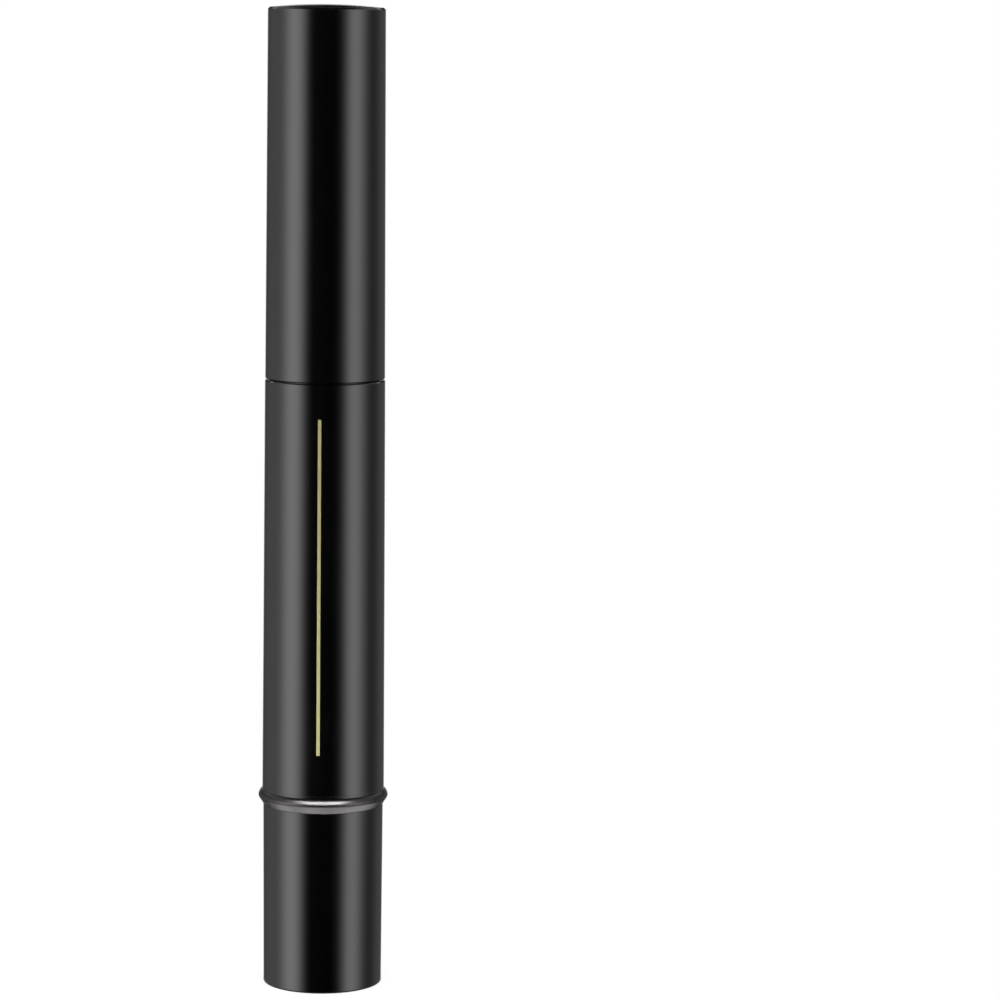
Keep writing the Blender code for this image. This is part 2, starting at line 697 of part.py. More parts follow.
def add_bristle_tuft(parent):
    """Strands in rings, fused to the slice that holds them, with a hole through for the polish."""
    rng = random.Random(RANDOM_SEED)
    foot = pocket_floor + PRESS_GAP
    hole = FEED_TUBE_RADIUS - FEED_TUBE_WALL
    step = foot + TUFT_SLICE / 2 + 2 * PRESS_GAP
    profile = [
        (feed_hole_radius, foot),
        (TUFT_RADIUS, foot),
        (TUFT_RADIUS, foot + TUFT_SLICE),
        (hole, foot + TUFT_SLICE),
        (hole, step),
        (feed_hole_radius, step),
    ]
    tuft = add_part("bristle_tuft", turned(profile, INNER_SIDES), parent)
    strands = bmesh.new()
    widest = TUFT_RADIUS - STRAND_MARGIN
    rings = int((widest - hole - STRAND_MARGIN) / STRAND_PITCH)
    for k in range(rings + 1):
        radius = widest - k * STRAND_PITCH
        longest = 1 - (1 - SHORTEST_STRAND) * (1 - k / rings) ** 2
        count = int(2 * math.pi * radius / STRAND_PITCH)
        start = rng.random()
        for i in range(count):
            root = polar(radius, 2 * math.pi * (i + start) / count)
            end = longest - STRAND_RAGGED * rng.random()
            add_strand(strands, root, end, 2 * math.pi * rng.random(), foot)
    boolean(tuft, add_object("bristle_strands", strands, parent), "UNION")
    return tuft


# Twist mechanism, fixed half


def add_mechanism_housing(parent):
    """Plug in the reservoir, flange in the barrel, seat for the ring and a skirt into the knob."""
    nut_bore = NUT_RADIUS + PRESS_GAP
    flange_bore = NUT_RADIUS + NUT_FLANGE_STEP + PRESS_GAP
    flange_seat = nut_top - NUT_FLANGE_HEIGHT - SEAT_GAP
    shoulder = ratchet_top + SEAT_GAP
    groove_radius = skirt_radius - SKIRT_GROOVE_DEPTH
    groove_low = skirt_groove - (CORE_BEAD_HEIGHT + KNOB_GAP) / 2
    groove_high = skirt_groove + (CORE_BEAD_HEIGHT + KNOB_GAP) / 2
    flange_bottom = barrel_bottom
    profile = [
        (skirt_bore, skirt_bottom),
        (skirt_radius, skirt_bottom),
        (skirt_radius, groove_low),
        (groove_radius, groove_low),
        (groove_radius, groove_high),
        (skirt_radius, groove_high),
        (skirt_radius, ring_bottom - KNOB_GAP / 2),
        (ring_seat_radius, ring_bottom - KNOB_GAP / 2),
        (ring_seat_radius, flange_bottom),
        (flange_radius, flange_bottom),
        (flange_radius, flange_top),
        (plug_radius, flange_top),
        (plug_radius, plug_top),
        (flange_bore, plug_top),
        (flange_bore, flange_seat),
        (nut_bore, flange_seat),
        (nut_bore, shoulder),
        (skirt_bore, shoulder),
    ]
    return add_part("mechanism_housing", turned(profile, INNER_SIDES), parent)


def add_ratchet_ring(parent):
    """A ring of saw teeth that the rotor's arms click over."""
    bm = bmesh.new()
    loops = []
    steps = 2 * RATCHET_TEETH
    pitch = 2 * math.pi / RATCHET_TEETH
    for height in (ratchet_bottom, ratchet_top):
        outer = []
        inner = []
        for i in range(steps):
            tooth = (i // 2) * pitch
            saw = tooth if i % 2 == 0 else tooth + RATCHET_SLOPE_SHARE * pitch
            radius = ratchet_crest if i % 2 == 0 else ratchet_root
            inner.append(bm.verts.new((*polar(radius, saw), height)))
            outer.append(bm.verts.new((*polar(ratchet_radius, tooth + (i % 2) * pitch / 2), height)))
        loops.append((outer, inner))
    (low_outer, low_inner), (high_outer, high_inner) = loops
    for i in range(steps):
        j = (i + 1) % steps
        bm.faces.new((low_outer[i], low_outer[j], high_outer[j], high_outer[i]))
        bm.faces.new((low_inner[i], low_inner[j], high_inner[j], high_inner[i]))
        bm.faces.new((low_outer[i], low_outer[j], low_inner[j], low_inner[i]))
        bm.faces.new((high_outer[i], high_outer[j], high_inner[j], high_inner[i]))
    return add_part("ratchet_ring", bm, parent)


def add_thread_ridge(bm, root, crest, root_width, crest_width, bottom, top):
    """A helical ridge about the Z axis, buried a little in its core, in phase with the nut."""
    buried = THREAD_DEPTH / 2
    slope = (root_width - crest_width) / (2 * (crest - root))
    foot_width = root_width + 2 * slope * buried
    first = math.ceil((bottom - nut_bottom) / THREAD_LEAD * THREAD_STEPS_PER_TURN)
    last = math.floor((top - nut_bottom) / THREAD_LEAD * THREAD_STEPS_PER_TURN)
    sections = []
    for n in range(first, last + 1):
        turns = n / THREAD_STEPS_PER_TURN
        height = nut_bottom + turns * THREAD_LEAD
        section = []
        for radius, offset in (
            (root - buried, -foot_width / 2),
            (crest, -crest_width / 2),
            (crest, crest_width / 2),
            (root - buried, foot_width / 2),
        ):
            point = polar(radius, 2 * math.pi * turns)
            section.append(bm.verts.new((*point, height + offset)))
        sections.append(section)
    bm.faces.new(sections[0])
    bm.faces.new(sections[-1])
    for lower, upper in zip(sections, sections[1:]):
        for i in range(4):
            j = (i + 1) % 4
            bm.faces.new((lower[i], lower[j], upper[j], upper[i]))


def add_rod_nut(parent):
    """A flanged nut, cut by the screw's own thread grown by its clearance."""
    flange = NUT_RADIUS + NUT_FLANGE_STEP
    profile = [
        (0.0, nut_bottom),
        (NUT_RADIUS, nut_bottom),
        (NUT_RADIUS, nut_top - NUT_FLANGE_HEIGHT),
        (flange, nut_top - NUT_FLANGE_HEIGHT),
        (flange, nut_top),
        (0.0, nut_top),
    ]
    nut = add_part("rod_nut", turned(profile, INNER_SIDES), parent)
    past = THREAD_LEAD / 2
    root = rod_root_radius + THREAD_GAP
    core = [(0.0, nut_bottom - past), (root, nut_bottom - past), (root, nut_top + past)]
    core += [(0.0, nut_top + past)]
    tap = add_object("nut_tap_core", turned_core(core), parent)
    ridge = bmesh.new()
    wider = 2 * THREAD_GAP
    add_thread_ridge(
        ridge,
        root,
        ROD_RADIUS + THREAD_GAP,
        THREAD_ROOT_WIDTH + wider,
        THREAD_CREST_WIDTH + wider,
        nut_bottom - THREAD_LEAD,
        nut_top + THREAD_LEAD,
    )
    boolean(tap, add_object("nut_tap_ridge", ridge, parent), "UNION")
    boolean(nut, tap, "DIFFERENCE")
    return nut


# Twist mechanism, turning half


def add_knob_shell(parent):
    corner = KNOB_EDGE_ROUND
    lip = KNOB_WALL / 5
    profile = [(0.0, 0.0)]
    profile += arc(knob_foot_radius - corner, corner, corner, -90, 0, EDGE_STEPS)
    profile += [(knob_top_radius, KNOB_LENGTH - lip), (knob_top_radius - lip, KNOB_LENGTH)]
    profile += [(knob_bore, KNOB_LENGTH), (knob_bore, KNOB_END_WALL), (0.0, KNOB_END_WALL)]
    return add_part("knob_shell", turned(profile, SHELL_SIDES), parent)


def add_knob_core(parent):
    """A cup that snaps round the housing's skirt, with a slotted drive tube up its middle."""
    bead = core_bore - SKIRT_GAP - SKIRT_GROOVE_DEPTH / 2
    half = CORE_BEAD_HEIGHT / 2
    profile = [
        (0.0, core_bottom),
        (core_radius, core_bottom),
        (core_radius, core_top),
        (core_bore, core_top),
        (core_bore, skirt_groove + half),
        (bead, skirt_groove + half / 3),
        (bead, skirt_groove - half / 3),
        (core_bore, skirt_groove - half),
        (core_bore, core_floor_top),
        (drive_tube_radius, core_floor_top),
        (drive_tube_radius, drive_tube_top),
        (drive_tube_bore, drive_tube_top),
        (drive_tube_bore, core_floor_top),
        (0.0, core_floor_top),
    ]
    core = add_part("knob_core", turned(profile, INNER_SIDES), parent)
    slot = ROTOR_DOG_WIDTH / 2 + ARM_GAP
    reach = drive_tube_radius + ROD_GAP
    depth = (rotor_bottom - ROTOR_DOG_DEPTH - SEAT_GAP, rotor_top)
    cutter = add_object("drive_slot_cutter", box((-slot, slot), (-reach, reach), depth), parent)
    boolean(core, cutter, "DIFFERENCE")
    return core


def arm_outline():
    """One click arm in plan: a band that leaves the hub, curves round it and ends in a nose."""
    outer = nose_radius - ARM_NOSE
    inner = outer - ARM_WIDTH
    root = drive_tube_radius - ARM_WIDTH / 2
    root_angle = ARM_WIDTH / inner
    points = [polar(root, -root_angle), polar(outer, -root_angle)]
    for i in range(1, ARM_STEPS):
        points.append(polar(outer, ARM_SWEEP * i / ARM_STEPS))
    points.append(polar(nose_radius, ARM_SWEEP))
    points.append(polar(inner, ARM_SWEEP))
    for i in range(ARM_STEPS - 1, 0, -1):
        points.append(polar(inner, ARM_SWEEP * i / ARM_STEPS))
    points += [polar(inner, root_angle), polar(root, root_angle)]
    return points


def add_click_rotor(parent):
    """A hub that is dogged to the drive tube, keyed to the screw, and carries two click arms."""
    hub = [
        (0.0, rotor_bottom),
        (drive_tube_radius, rotor_bottom),
        (drive_tube_radius, rotor_top),
        (0.0, rotor_top),
    ]
    rotor = add_part("click_rotor", turned(hub, INNER_SIDES), parent)
    arm_bottom = ratchet_bottom + (RATCHET_LENGTH - ARM_HEIGHT) / 2
    for side in (0, 1):
        arm = prism(arm_outline(), arm_bottom, arm_bottom + ARM_HEIGHT)
        turn = Matrix.Rotation(math.pi * side, 4, "Z")
        bmesh.ops.transform(arm, matrix=turn, verts=arm.verts)
        boolean(rotor, add_object(f"click_arm_{side}", arm, parent), "UNION")
        edges = sorted(((-1) ** side * drive_tube_bore, (-1) ** side * (drive_tube_radius - PRESS_GAP)))
        half = ROTOR_DOG_WIDTH / 2
        heights = (rotor_bottom - ROTOR_DOG_DEPTH, rotor_bottom + ROTOR_DOG_DEPTH)
        dog = box((-half, half), edges, heights)
        boolean(rotor, add_object(f"click_dog_{side}", dog, parent), "UNION")
    past = THREAD_LEAD / 2
    keyway = add_object(
        "keyway_cutter",
        prism(keyed_outline(THREAD_GAP), rotor_bottom - past, rotor_top + past),
        parent,
    )
    boolean(rotor, keyway, "DIFFERENCE")
    return rotor


def keyed_outline(clearance):
    """A circle with two flats, facing +X and -X."""
    radius = ROD_RADIUS + clearance
    flat = ROD_FLAT_HALF_WIDTH + clearance
    corner = math.acos(flat / radius)
    points = []
    for middle in (math.pi / 2, 3 * math.pi / 2):
        half = math.pi / 2 - corner
        for i in range(KEY_STEPS + 1):
            points.append(polar(radius, middle - half + 2 * half * i / KEY_STEPS))
    return points


def add_piston_rod(parent):
    """The screw: a keyed core with a right-hand thread, a neck and a head for the piston."""
    chamfer = ROD_HEAD_LENGTH / 4
    root = rod_root_radius
    core = [(0.0, rod_bottom), (root - chamfer, rod_bottom), (root, rod_bottom + chamfer)]
    core += [(root, thread_top), (ROD_NECK_RADIUS, thread_top), (ROD_NECK_RADIUS, head_bottom)]
    core += [(ROD_HEAD_RADIUS, head_bottom), (ROD_HEAD_RADIUS, head_top - chamfer)]
    core += [(ROD_HEAD_RADIUS - chamfer, head_top), (0.0, head_top)]
    rod = add_part("piston_rod", turned_core(core), parent)
    ridge = bmesh.new()
    half = THREAD_ROOT_WIDTH / 2 + THREAD_GAP
    add_thread_ridge(
        ridge,
        root,
        ROD_RADIUS,
        THREAD_ROOT_WIDTH,
        THREAD_CREST_WIDTH,
        thread_bottom,
        thread_top - half,
    )
    boolean(rod, add_object("thread_ridge", ridge, parent), "UNION")
    for side in (-1, 1):
        x = sorted((side * ROD_FLAT_HALF_WIDTH, side * 2 * ROD_RADIUS))
        reach = (-2 * ROD_RADIUS, 2 * ROD_RADIUS)
        flat = box(x, reach, (rod_bottom - THREAD_LEAD, thread_top))
        boolean(rod, add_object(f"rod_flat_cutter_{side + 1}", flat, parent), "DIFFERENCE")
    return rod


def add_piston(parent):
    """A follower with a wiping lip at each end, a dished top and a socket for the screw's head."""
    waist = piston_radius - PISTON_WAIST_STEP
    slope = PISTON_WAIST_STEP
    dish = waist - PISTON_WAIST_STEP
    socket = ROD_HEAD_RADIUS + SOCKET_GAP
    entry = ROD_NECK_RADIUS + SOCKET_GAP
    socket_top = head_top + SOCKET_GAP
    profile = [
        (entry, piston_bottom),
        (piston_radius, piston_bottom),
        (piston_radius, piston_bottom + PISTON_LIP),
        (waist, piston_bottom + PISTON_LIP + slope),
        (waist, piston_top - PISTON_LIP - slope),
        (piston_radius, piston_top - PISTON_LIP),
        (piston_radius, piston_top),
        (dish, piston_top),
        (dish - PISTON_DISH, piston_top - PISTON_DISH),
        (0.0, piston_top - PISTON_DISH),
        (0.0, socket_top),
        (socket, socket_top),
        (socket, socket_bottom),
        (entry, socket_bottom),
    ]
    return add_part("piston", turned(profile, INNER_SIDES), parent)


# Assembly


def add_bodies():
    """One empty on the pen's axis for each body that moves."""
    bodies = {}
    for name, height in BODY_ORIGINS.items():
        empty = bpy.data.objects.new(name, None)
        empty.location = (0.0, 0.0, height)
        bpy.context.scene.collection.objects.link(empty)
        bodies[name] = empty
    return bodies


def main():
    clear_scene()
    bodies = add_bodies()
    fixed = (
        add_barrel_shell,
        add_foil_line,
        add_trim_ring,
        add_reservoir_tube,
        add_neck_housing,
        add_neck_o_ring,
        add_brush_ferrule,
        add_feed_tube,
        add_bristle_tuft,
        add_mechanism_housing,
        add_ratchet_ring,
        add_rod_nut,
    )
    for add in fixed:
        add(bodies["barrel_body"])
    for add in (add_knob_shell, add_knob_core, add_click_rotor):
        add(bodies["knob_body"])
    add_piston_rod(bodies["rod_body"])
    add_piston(bodies["piston_body"])
    for add in (add_cap_shell, add_inner_cap):
        add(bodies["cap_body"])
    bpy.context.view_layer.update()
    print(f"stroke {stroke * 1000:.3f} mm in {stroke / THREAD_LEAD:.3f} turns")


main()
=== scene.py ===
"""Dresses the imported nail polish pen: finely turned shells, foil, ring, neck and wet brush.

Sizes below are in millimetres unless a name says otherwise, and heights are measured from the foot.
"""

import math
import random

import bpy
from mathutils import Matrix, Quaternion, Vector, noise


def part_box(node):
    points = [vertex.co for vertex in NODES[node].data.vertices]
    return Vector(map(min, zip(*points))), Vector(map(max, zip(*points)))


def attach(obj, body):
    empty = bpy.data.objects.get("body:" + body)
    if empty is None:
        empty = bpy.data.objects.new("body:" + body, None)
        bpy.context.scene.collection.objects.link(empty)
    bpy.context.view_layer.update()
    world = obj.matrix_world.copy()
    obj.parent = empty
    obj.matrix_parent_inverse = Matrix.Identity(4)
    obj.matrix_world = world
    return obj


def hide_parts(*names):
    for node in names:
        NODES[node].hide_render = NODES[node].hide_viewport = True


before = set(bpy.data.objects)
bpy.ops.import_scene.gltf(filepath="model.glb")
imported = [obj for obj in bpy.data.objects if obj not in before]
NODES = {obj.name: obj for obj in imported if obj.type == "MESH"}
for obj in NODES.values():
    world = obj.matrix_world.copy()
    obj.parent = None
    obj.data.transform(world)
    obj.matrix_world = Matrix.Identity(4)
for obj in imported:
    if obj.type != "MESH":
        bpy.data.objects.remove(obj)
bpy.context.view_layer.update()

MM = 0.001
SIDES = 256
# Steps in a rounding: on the shells, and on the smaller pieces
ROUND_STEPS = 8
SMALL_ROUND_STEPS = 6
# How far beyond a rounding's ends its neighbouring faces get a supporting point
SUPPORT = 0.03
SMOOTH_ANGLE = math.radians(30.0)


def span(node):
    """(radius, bottom, top) of a turned node, in millimetres."""
    low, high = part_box(node)
    return high.x / MM, low.z / MM, high.z / MM


# Meshes


def rounded(corners, steps=ROUND_STEPS):
    """A closed r-z outline from (r, z, rounding) corners. A rounding below zero is a flat bevel."""
    points = []
    count = len(corners)
    for i, (r, z, rounding) in enumerate(corners):
        here = Vector((r, z))
        if rounding == 0:
            points.append((r, z))
            continue
        before = Vector(corners[i - 1][:2]) - here
        after = Vector(corners[(i + 1) % count][:2]) - here
        before.normalize()
        after.normalize()
        if rounding < 0:
            points.append(tuple(here - before * rounding))
            points.append(tuple(here - after * rounding))
            continue
        half = before.angle(after) / 2
        reach = rounding / math.tan(half)
        middle = here + (before + after).normalized() * (rounding / math.sin(half))
        start = here + before * reach
        end = here + after * reach
        points.append(tuple(start + before * SUPPORT))
        first = math.atan2(start.y - middle.y, start.x - middle.x)
        sweep = math.atan2(end.y - middle.y, end.x - middle.x) - first
        sweep = (sweep + math.pi) % (2 * math.pi) - math.pi
        for k in range(steps + 1):
            angle = first + sweep * k / steps
            points.append((middle.x + rounding * math.cos(angle), middle.y + rounding * math.sin(angle)))
        points.append(tuple(end + after * SUPPORT))
    return points


def mesh_object(name, verts, faces):
    mesh = bpy.data.meshes.new(name)
    mesh.from_pydata([[c * MM for c in v] for v in verts], [], faces)
    mesh.validate()
    mesh.update()
    obj = bpy.data.objects.new(name, mesh)
    bpy.context.scene.collection.objects.link(obj)
    return obj


def smooth(obj):
    obj.data.shade_smooth()
    obj.data.set_sharp_from_angle(angle=SMOOTH_ANGLE)
    return obj


def lathe(name, profile, angles=None, shift=None):
    """Turn a closed r-z outline about the Z axis. shift(angle, r, z) gives a point's own radius."""
    if angles is None:
        angles = [2 * math.pi * i / SIDES for i in range(SIDES)]
    count = len(angles)
    verts = []
    rings = []
    for r, z in profile:
        if r <= 0:
            rings.append([len(verts)] * count)
            verts.append((0.0, 0.0, z))
            continue
        ring = []
        for a in angles:
            own = shift(a, r, z) if shift else r
            ring.append(len(verts))
            verts.append((own * math.sin(a), -own * math.cos(a), z))
        rings.append(ring)
    faces = []
    for k, low in enumerate(rings):
        high = rings[(k + 1) % len(rings)]
        for i in range(count):
            j = (i + 1) % count
            face = []
            for v in (low[i], low[j], high[j], high[i]):
                if v not in face:
                    face.append(v)
            if len(face) > 2:
                faces.append(face)
    return smooth(mesh_object(name, verts, faces))


# Materials


class Nodes:
    """Short calls for building a material's node tree."""

    def __init__(self, name):
        self.material = bpy.data.materials.new(name)
        self.material.use_nodes = True
        self.tree = self.material.node_tree
        self.shader = self.tree.nodes["Principled BSDF"]
        self.place = self.add("ShaderNodeTexCoord").outputs["Object"]

    def add(self, kind, **values):
        node = self.tree.nodes.new(kind)
        for key, value in values.items():
            setattr(node, key, value)
        return node

    def link(self, source, target):
        self.tree.links.new(source, target)

    def feed(self, socket, value):
        if isinstance(value, bpy.types.NodeSocket):
            self.link(value, socket)
        else:
            socket.default_value = value

    def set(self, **values):
        """Set sockets of the main shader, with underscores for the spaces in their names."""
        for key, value in values.items():
            self.feed(self.shader.inputs[key.replace("_", " ")], value)

    def stretched(self, x, y, z, turn=(0.0, 0.0, 0.0)):
        """The object's own coordinates, in units of 1/x, 1/y and 1/z metres."""
        mapping = self.add("ShaderNodeMapping")
        self.link(self.place, mapping.inputs["Vector"])
        mapping.inputs["Rotation"].default_value = turn
        mapping.inputs["Scale"].default_value = (x, y, z)
        return mapping.outputs["Vector"]

    def noise(self, vector, scale=1.0, detail=3.0, rough=0.5):
        node = self.add("ShaderNodeTexNoise")
        self.link(vector, node.inputs["Vector"])
        node.inputs["Scale"].default_value = scale
        node.inputs["Detail"].default_value = detail
        node.inputs["Roughness"].default_value = rough
        return node.outputs["Fac"]

    def ranged(self, value, low, high, to_low, to_high, smooth_steps=True):
        node = self.add("ShaderNodeMapRange")
        if smooth_steps:
            node.interpolation_type = "SMOOTHSTEP"
        self.feed(node.inputs["Value"], value)
        node.inputs["From Min"].default_value = low
        node.inputs["From Max"].default_value = high
        node.inputs["To Min"].default_value = to_low
        node.inputs["To Max"].default_value = to_high
        return node.outputs["Result"]

    def maths(self, operation, a, b=0.0, c=0.0):
        node = self.add("ShaderNodeMath", operation=operation)
        for socket, value in zip(node.inputs, (a, b, c)):
            self.feed(socket, value)
        return node.outputs["Value"]

    def mixed(self, share, a, b):
        node = self.add("ShaderNodeMix", data_type="RGBA")
        self.feed(node.inputs["Factor"], share)
        self.feed(node.inputs["A"], (*a, 1.0) if isinstance(a, tuple) else a)
        self.feed(node.inputs["B"], (*b, 1.0) if isinstance(b, tuple) else b)
        return node.outputs["Result"]

    def bumps(self, *layers):
        """Stack (height, depth in metres) layers into one normal."""
        normal = None
        for height, depth in layers:
            node = self.add("ShaderNodeBump")
            node.inputs["Strength"].default_value = 1.0
            node.inputs["Distance"].default_value = depth
            self.link(height, node.inputs["Height"])
            if normal:
                self.link(normal, node.inputs["Normal"])
            normal = node.outputs["Normal"]
        self.link(normal, self.shader.inputs["Normal"])

    def split(self, vector):
        """The x, y and z of a vector."""
        parts = self.add("ShaderNodeSeparateXYZ")
        self.link(vector, parts.inputs["Vector"])
        return [parts.outputs[k] for k in "XYZ"]

    def root_of_squares(self, a, b):
        return self.maths("SQRT", self.maths("MULTIPLY_ADD", a, a, self.maths("MULTIPLY", b, b)))

    def distance_from_circle(self, radius, height):
        """How far a point is, in metres, from a level circle about the pen's axis."""
        x, y, z = self.split(self.place)
        across = self.maths("SUBTRACT", self.root_of_squares(x, y), radius * MM)
        along = self.maths("SUBTRACT", z, height * MM)
        return self.root_of_squares(across, along)

    def mirrored(self, light):
        """1 for the rays that a reflection or a clear piece sends on, and 0 for the rest."""
        return self.maths("MAXIMUM", light.outputs["Is Glossy Ray"], light.outputs["Is Transmission Ray"])

    def along(self, low, high):
        """1 at one height on the pen, in millimetres, falling evenly to 0 at another."""
        return self.ranged(self.split(self.place)[2], low * MM, high * MM, 1.0, 0.0, False)

    def hairlines(self, x, y, z, turn, threshold):
        """Fine scratches: the crests of a noise that is stretched along one direction."""
        lines = self.noise(self.stretched(x, y, z, turn), detail=2.0)
        return self.ranged(lines, threshold, threshold + 0.05, 0.0, 1.0)


# Roughness that a rubbed edge and a scratch add to the lacquer
EDGE_MATT = 0.15
SCRATCH_MATT = 0.035


def lacquer(name, base, worn, roughness, edges=()):
    """Glossy black: faint orange peel, hairlines, a rubbed haze, and paler rub marks by its edges."""
    m = Nodes(name)
    peel = m.noise(m.stretched(900, 900, 500), detail=2.0)
    haze = m.noise(m.stretched(160, 160, 60), detail=5.0, rough=0.6)
    lines = m.maths(
        "MAXIMUM",
        m.hairlines(5200, 5200, 160, (0.10, 0.05, 0.0), 0.70),
        m.hairlines(600, 600, 5200, (0.12, -0.08, 0.3), 0.72),
    )
    rough = m.ranged(haze, 0.35, 0.75, roughness - 0.015, roughness + 0.03)
    rough = m.maths("MULTIPLY_ADD", lines, SCRATCH_MATT, rough)
    wear = m.ranged(haze, 0.50, 0.80, 0.0, 0.35)
    chips = m.ranged(m.noise(m.stretched(1500, 1500, 1500), detail=4.0), 0.48, 0.66, 0.0, 1.0)
    for edge_radius, edge_height, reach in edges:
        near = m.ranged(m.distance_from_circle(edge_radius, edge_height), 0.0, reach * MM, 1.0, 0.0)
        wear = m.maths("MULTIPLY_ADD", near, chips, wear)
        rough = m.maths("MULTIPLY_ADD", near, EDGE_MATT, rough)
    m.set(Base_Color=m.mixed(m.maths("MINIMUM", wear, 1.0), base, worn), Roughness=rough, IOR=1.5)
    m.bumps((peel, 0.0000016), (lines, 0.0000008))
    return m.material


def moulded(name, base, shade, roughness, translucent=0.0):
    """Moulded plastic: flow marks along the axis, fine grain and a faint change of tone."""
    m = Nodes(name)
    flow = m.noise(m.stretched(420, 420, 90), detail=4.0, rough=0.55)
    grain = m.noise(m.stretched(5200, 5200, 5200), detail=2.0)
    m.set(Base_Color=m.mixed(m.ranged(flow, 0.35, 0.70, 0.0, 1.0), base, shade))
    m.set(Roughness=m.ranged(grain, 0.3, 0.7, roughness - 0.04, roughness + 0.05))
    m.set(Subsurface_Weight=translucent, Subsurface_Radius=(0.0012, 0.0011, 0.0010), IOR=1.49)
    m.bumps((flow, 0.000004), (grain, 0.0000012))
    return m.material


def polished_ring():
    """Dark polished metal with turning marks round it and a violet cast."""
    m = Nodes("ring_metal")
    turning = m.noise(m.stretched(60, 60, 9000), detail=3.0)
    smudge = m.noise(m.stretched(380, 380, 700), detail=4.0)
    clean, smudged = (0.068, 0.064, 0.067), (0.058, 0.055, 0.057)
    m.set(Base_Color=m.mixed(m.ranged(smudge, 0.35, 0.7, 0.0, 1.0), clean, smudged), Metallic=1.0)
    m.set(Roughness=m.ranged(smudge, 0.3, 0.75, 0.34, 0.41))
    m.bumps((turning, 0.0000012))
    return m.material


def pressed_foil():
    """Gold foil: pressed grain, with its brightness drifting along the line, and a painted highlight that
    brightens it towards its foot.
    """
    m = Nodes("foil_gold")
    drift = m.noise(m.stretched(90, 90, 45), detail=2.0)
    grain = m.noise(m.stretched(9000, 9000, 2400), detail=3.0, rough=0.65)
    tone = m.mixed(m.ranged(drift, 0.35, 0.65, 0.0, 1.0), (0.59, 0.53, 0.25), (0.65, 0.59, 0.28))
    # Painted highlight: the colour is mixed towards a bright gold from the foil's top down to its foot, in
    # place of the ground's reflection.
    tone = m.mixed(m.along(foil_bottom, foil_top), tone, (1.0, 0.93, 0.46))
    worn = m.mixed(m.ranged(grain, 0.60, 0.78, 0.0, 0.3), tone, (0.56, 0.48, 0.21))
    m.set(Base_Color=worn, Metallic=0.80)
    m.set(Roughness=m.ranged(grain, 0.3, 0.7, 0.34, 0.44))
    m.bumps((grain, 0.0000015))
    return m.material


def wet_nylon(name, base, deep, pale, roughness):
    """Strands soaked in polish: streaks under a wet coat, rosier at the root, and a painted sheen that
    pales them at the rims, where the surface turns away from the view.
    """
    m = Nodes(name)
    streak = m.noise(m.stretched(6500, 6500, 260), detail=3.0, rough=0.6)
    broad = m.noise(m.stretched(1500, 1500, 160), detail=2.0)
    tone = m.mixed(m.ranged(broad, 0.35, 0.65, 0.0, 1.0), base, deep)
    tone = m.mixed(m.ranged(streak, 0.50, 0.74, 0.0, 0.55), tone, pale)
    root = (brush_tip - TUFT_LENGTH) * MM
    near_root = m.ranged(m.split(m.place)[2], root, root + TUFT_BLUSH * MM, 0.75, 0.0)
    tone = m.mixed(near_root, tone, deep)
    # Painted sheen: where the surface turns away from the view, the colour pales towards the pale pink, in
    # place of a reflection at the rims.
    facing = m.add("ShaderNodeLayerWeight")
    facing.inputs["Blend"].default_value = 0.35
    tone = m.mixed(m.ranged(facing.outputs["Facing"], 0.25, 0.75, 0.0, 0.85), tone, pale)
    m.set(Base_Color=tone, Roughness=m.ranged(streak, 0.3, 0.7, roughness - 0.06, roughness + 0.08))
    m.set(Subsurface_Weight=0.35, Subsurface_Radius=(0.0009, 0.0003, 0.0004))
    m.set(Coat_Weight=0.15, Coat_Roughness=0.15, IOR=1.48)
    m.bumps((streak, 0.000012), (broad, 0.000008))
    return m.material


def seal_rubber():
    """Smooth black rubber with a fine grain and a faint bloom."""
    m = Nodes("o_ring_rubber")
    grain = m.noise(m.stretched(4200, 4200, 4200), detail=4.0, rough=0.7)
    bloom = m.noise(m.stretched(700, 700, 700), detail=3.0)
    fresh, bloomed = (0.018, 0.018, 0.018), (0.035, 0.034, 0.033)
    m.set(Base_Color=m.mixed(m.ranged(bloom, 0.4, 0.7, 0.0, 1.0), fresh, bloomed))
    m.set(Roughness=m.ranged(grain, 0.3, 0.7, 0.48, 0.62))
    m.bumps((grain, 0.000004))
    return m.material


def dress(obj, body, slot, material, *nodes):
    """Give a piece its body, its material and the nodes that it stands for."""
    obj.data.materials.clear()
    obj.data.materials.append(material)
    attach(obj, body)
    if nodes:
        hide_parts(*nodes)
    return obj


# Sizes that the CAD boxes give
cap_radius, cap_mouth, cap_top = span("cap_shell")
barrel_radius, barrel_bottom, barrel_top = span("barrel_shell")
knob_radius, _, knob_top = span("knob_shell")
ring_radius, ring_bottom, _ = span("trim_ring")
neck_radius, neck_bottom, sleeve_top = span("neck_housing")
ferrule_radius, ferrule_bottom, ferrule_top = span("brush_ferrule")
liner_radius, liner_bottom, liner_top = span("inner_cap")
brush_tip = span("bristle_tuft")[2]
foil_bottom, foil_top = (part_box("foil_line")[k].z / MM for k in (0, 1))

# Sizes of the turned pieces, as in the solids where no comment says otherwise

# The bevel at the cap's mouth, and at the barrel's edge, which the solid rounds instead
SEAM_BEVEL = 0.13

CAP_TAPER = 0.20
CAP_CROWN = 0.45
# Where the crown starts, as a share of the top's radius, and the bevel round it. The solid's edge is round.
CAP_CROWN_SHARE = 0.93
CAP_BEVEL = 0.25
CAP_CROWN_STEPS = 12
CAP_WALL = 0.65
CAP_TOP_WALL = 1.2
CAP_BEAD_ABOVE_BARREL = 3.9
CAP_BEAD_HEIGHT = 0.7
CAP_BEAD_RADIUS = 6.98

LINER_BORE = 5.27
LINER_WALL = 0.7
LINER_FLANGE = 1.2
LINER_TOP = 1.0

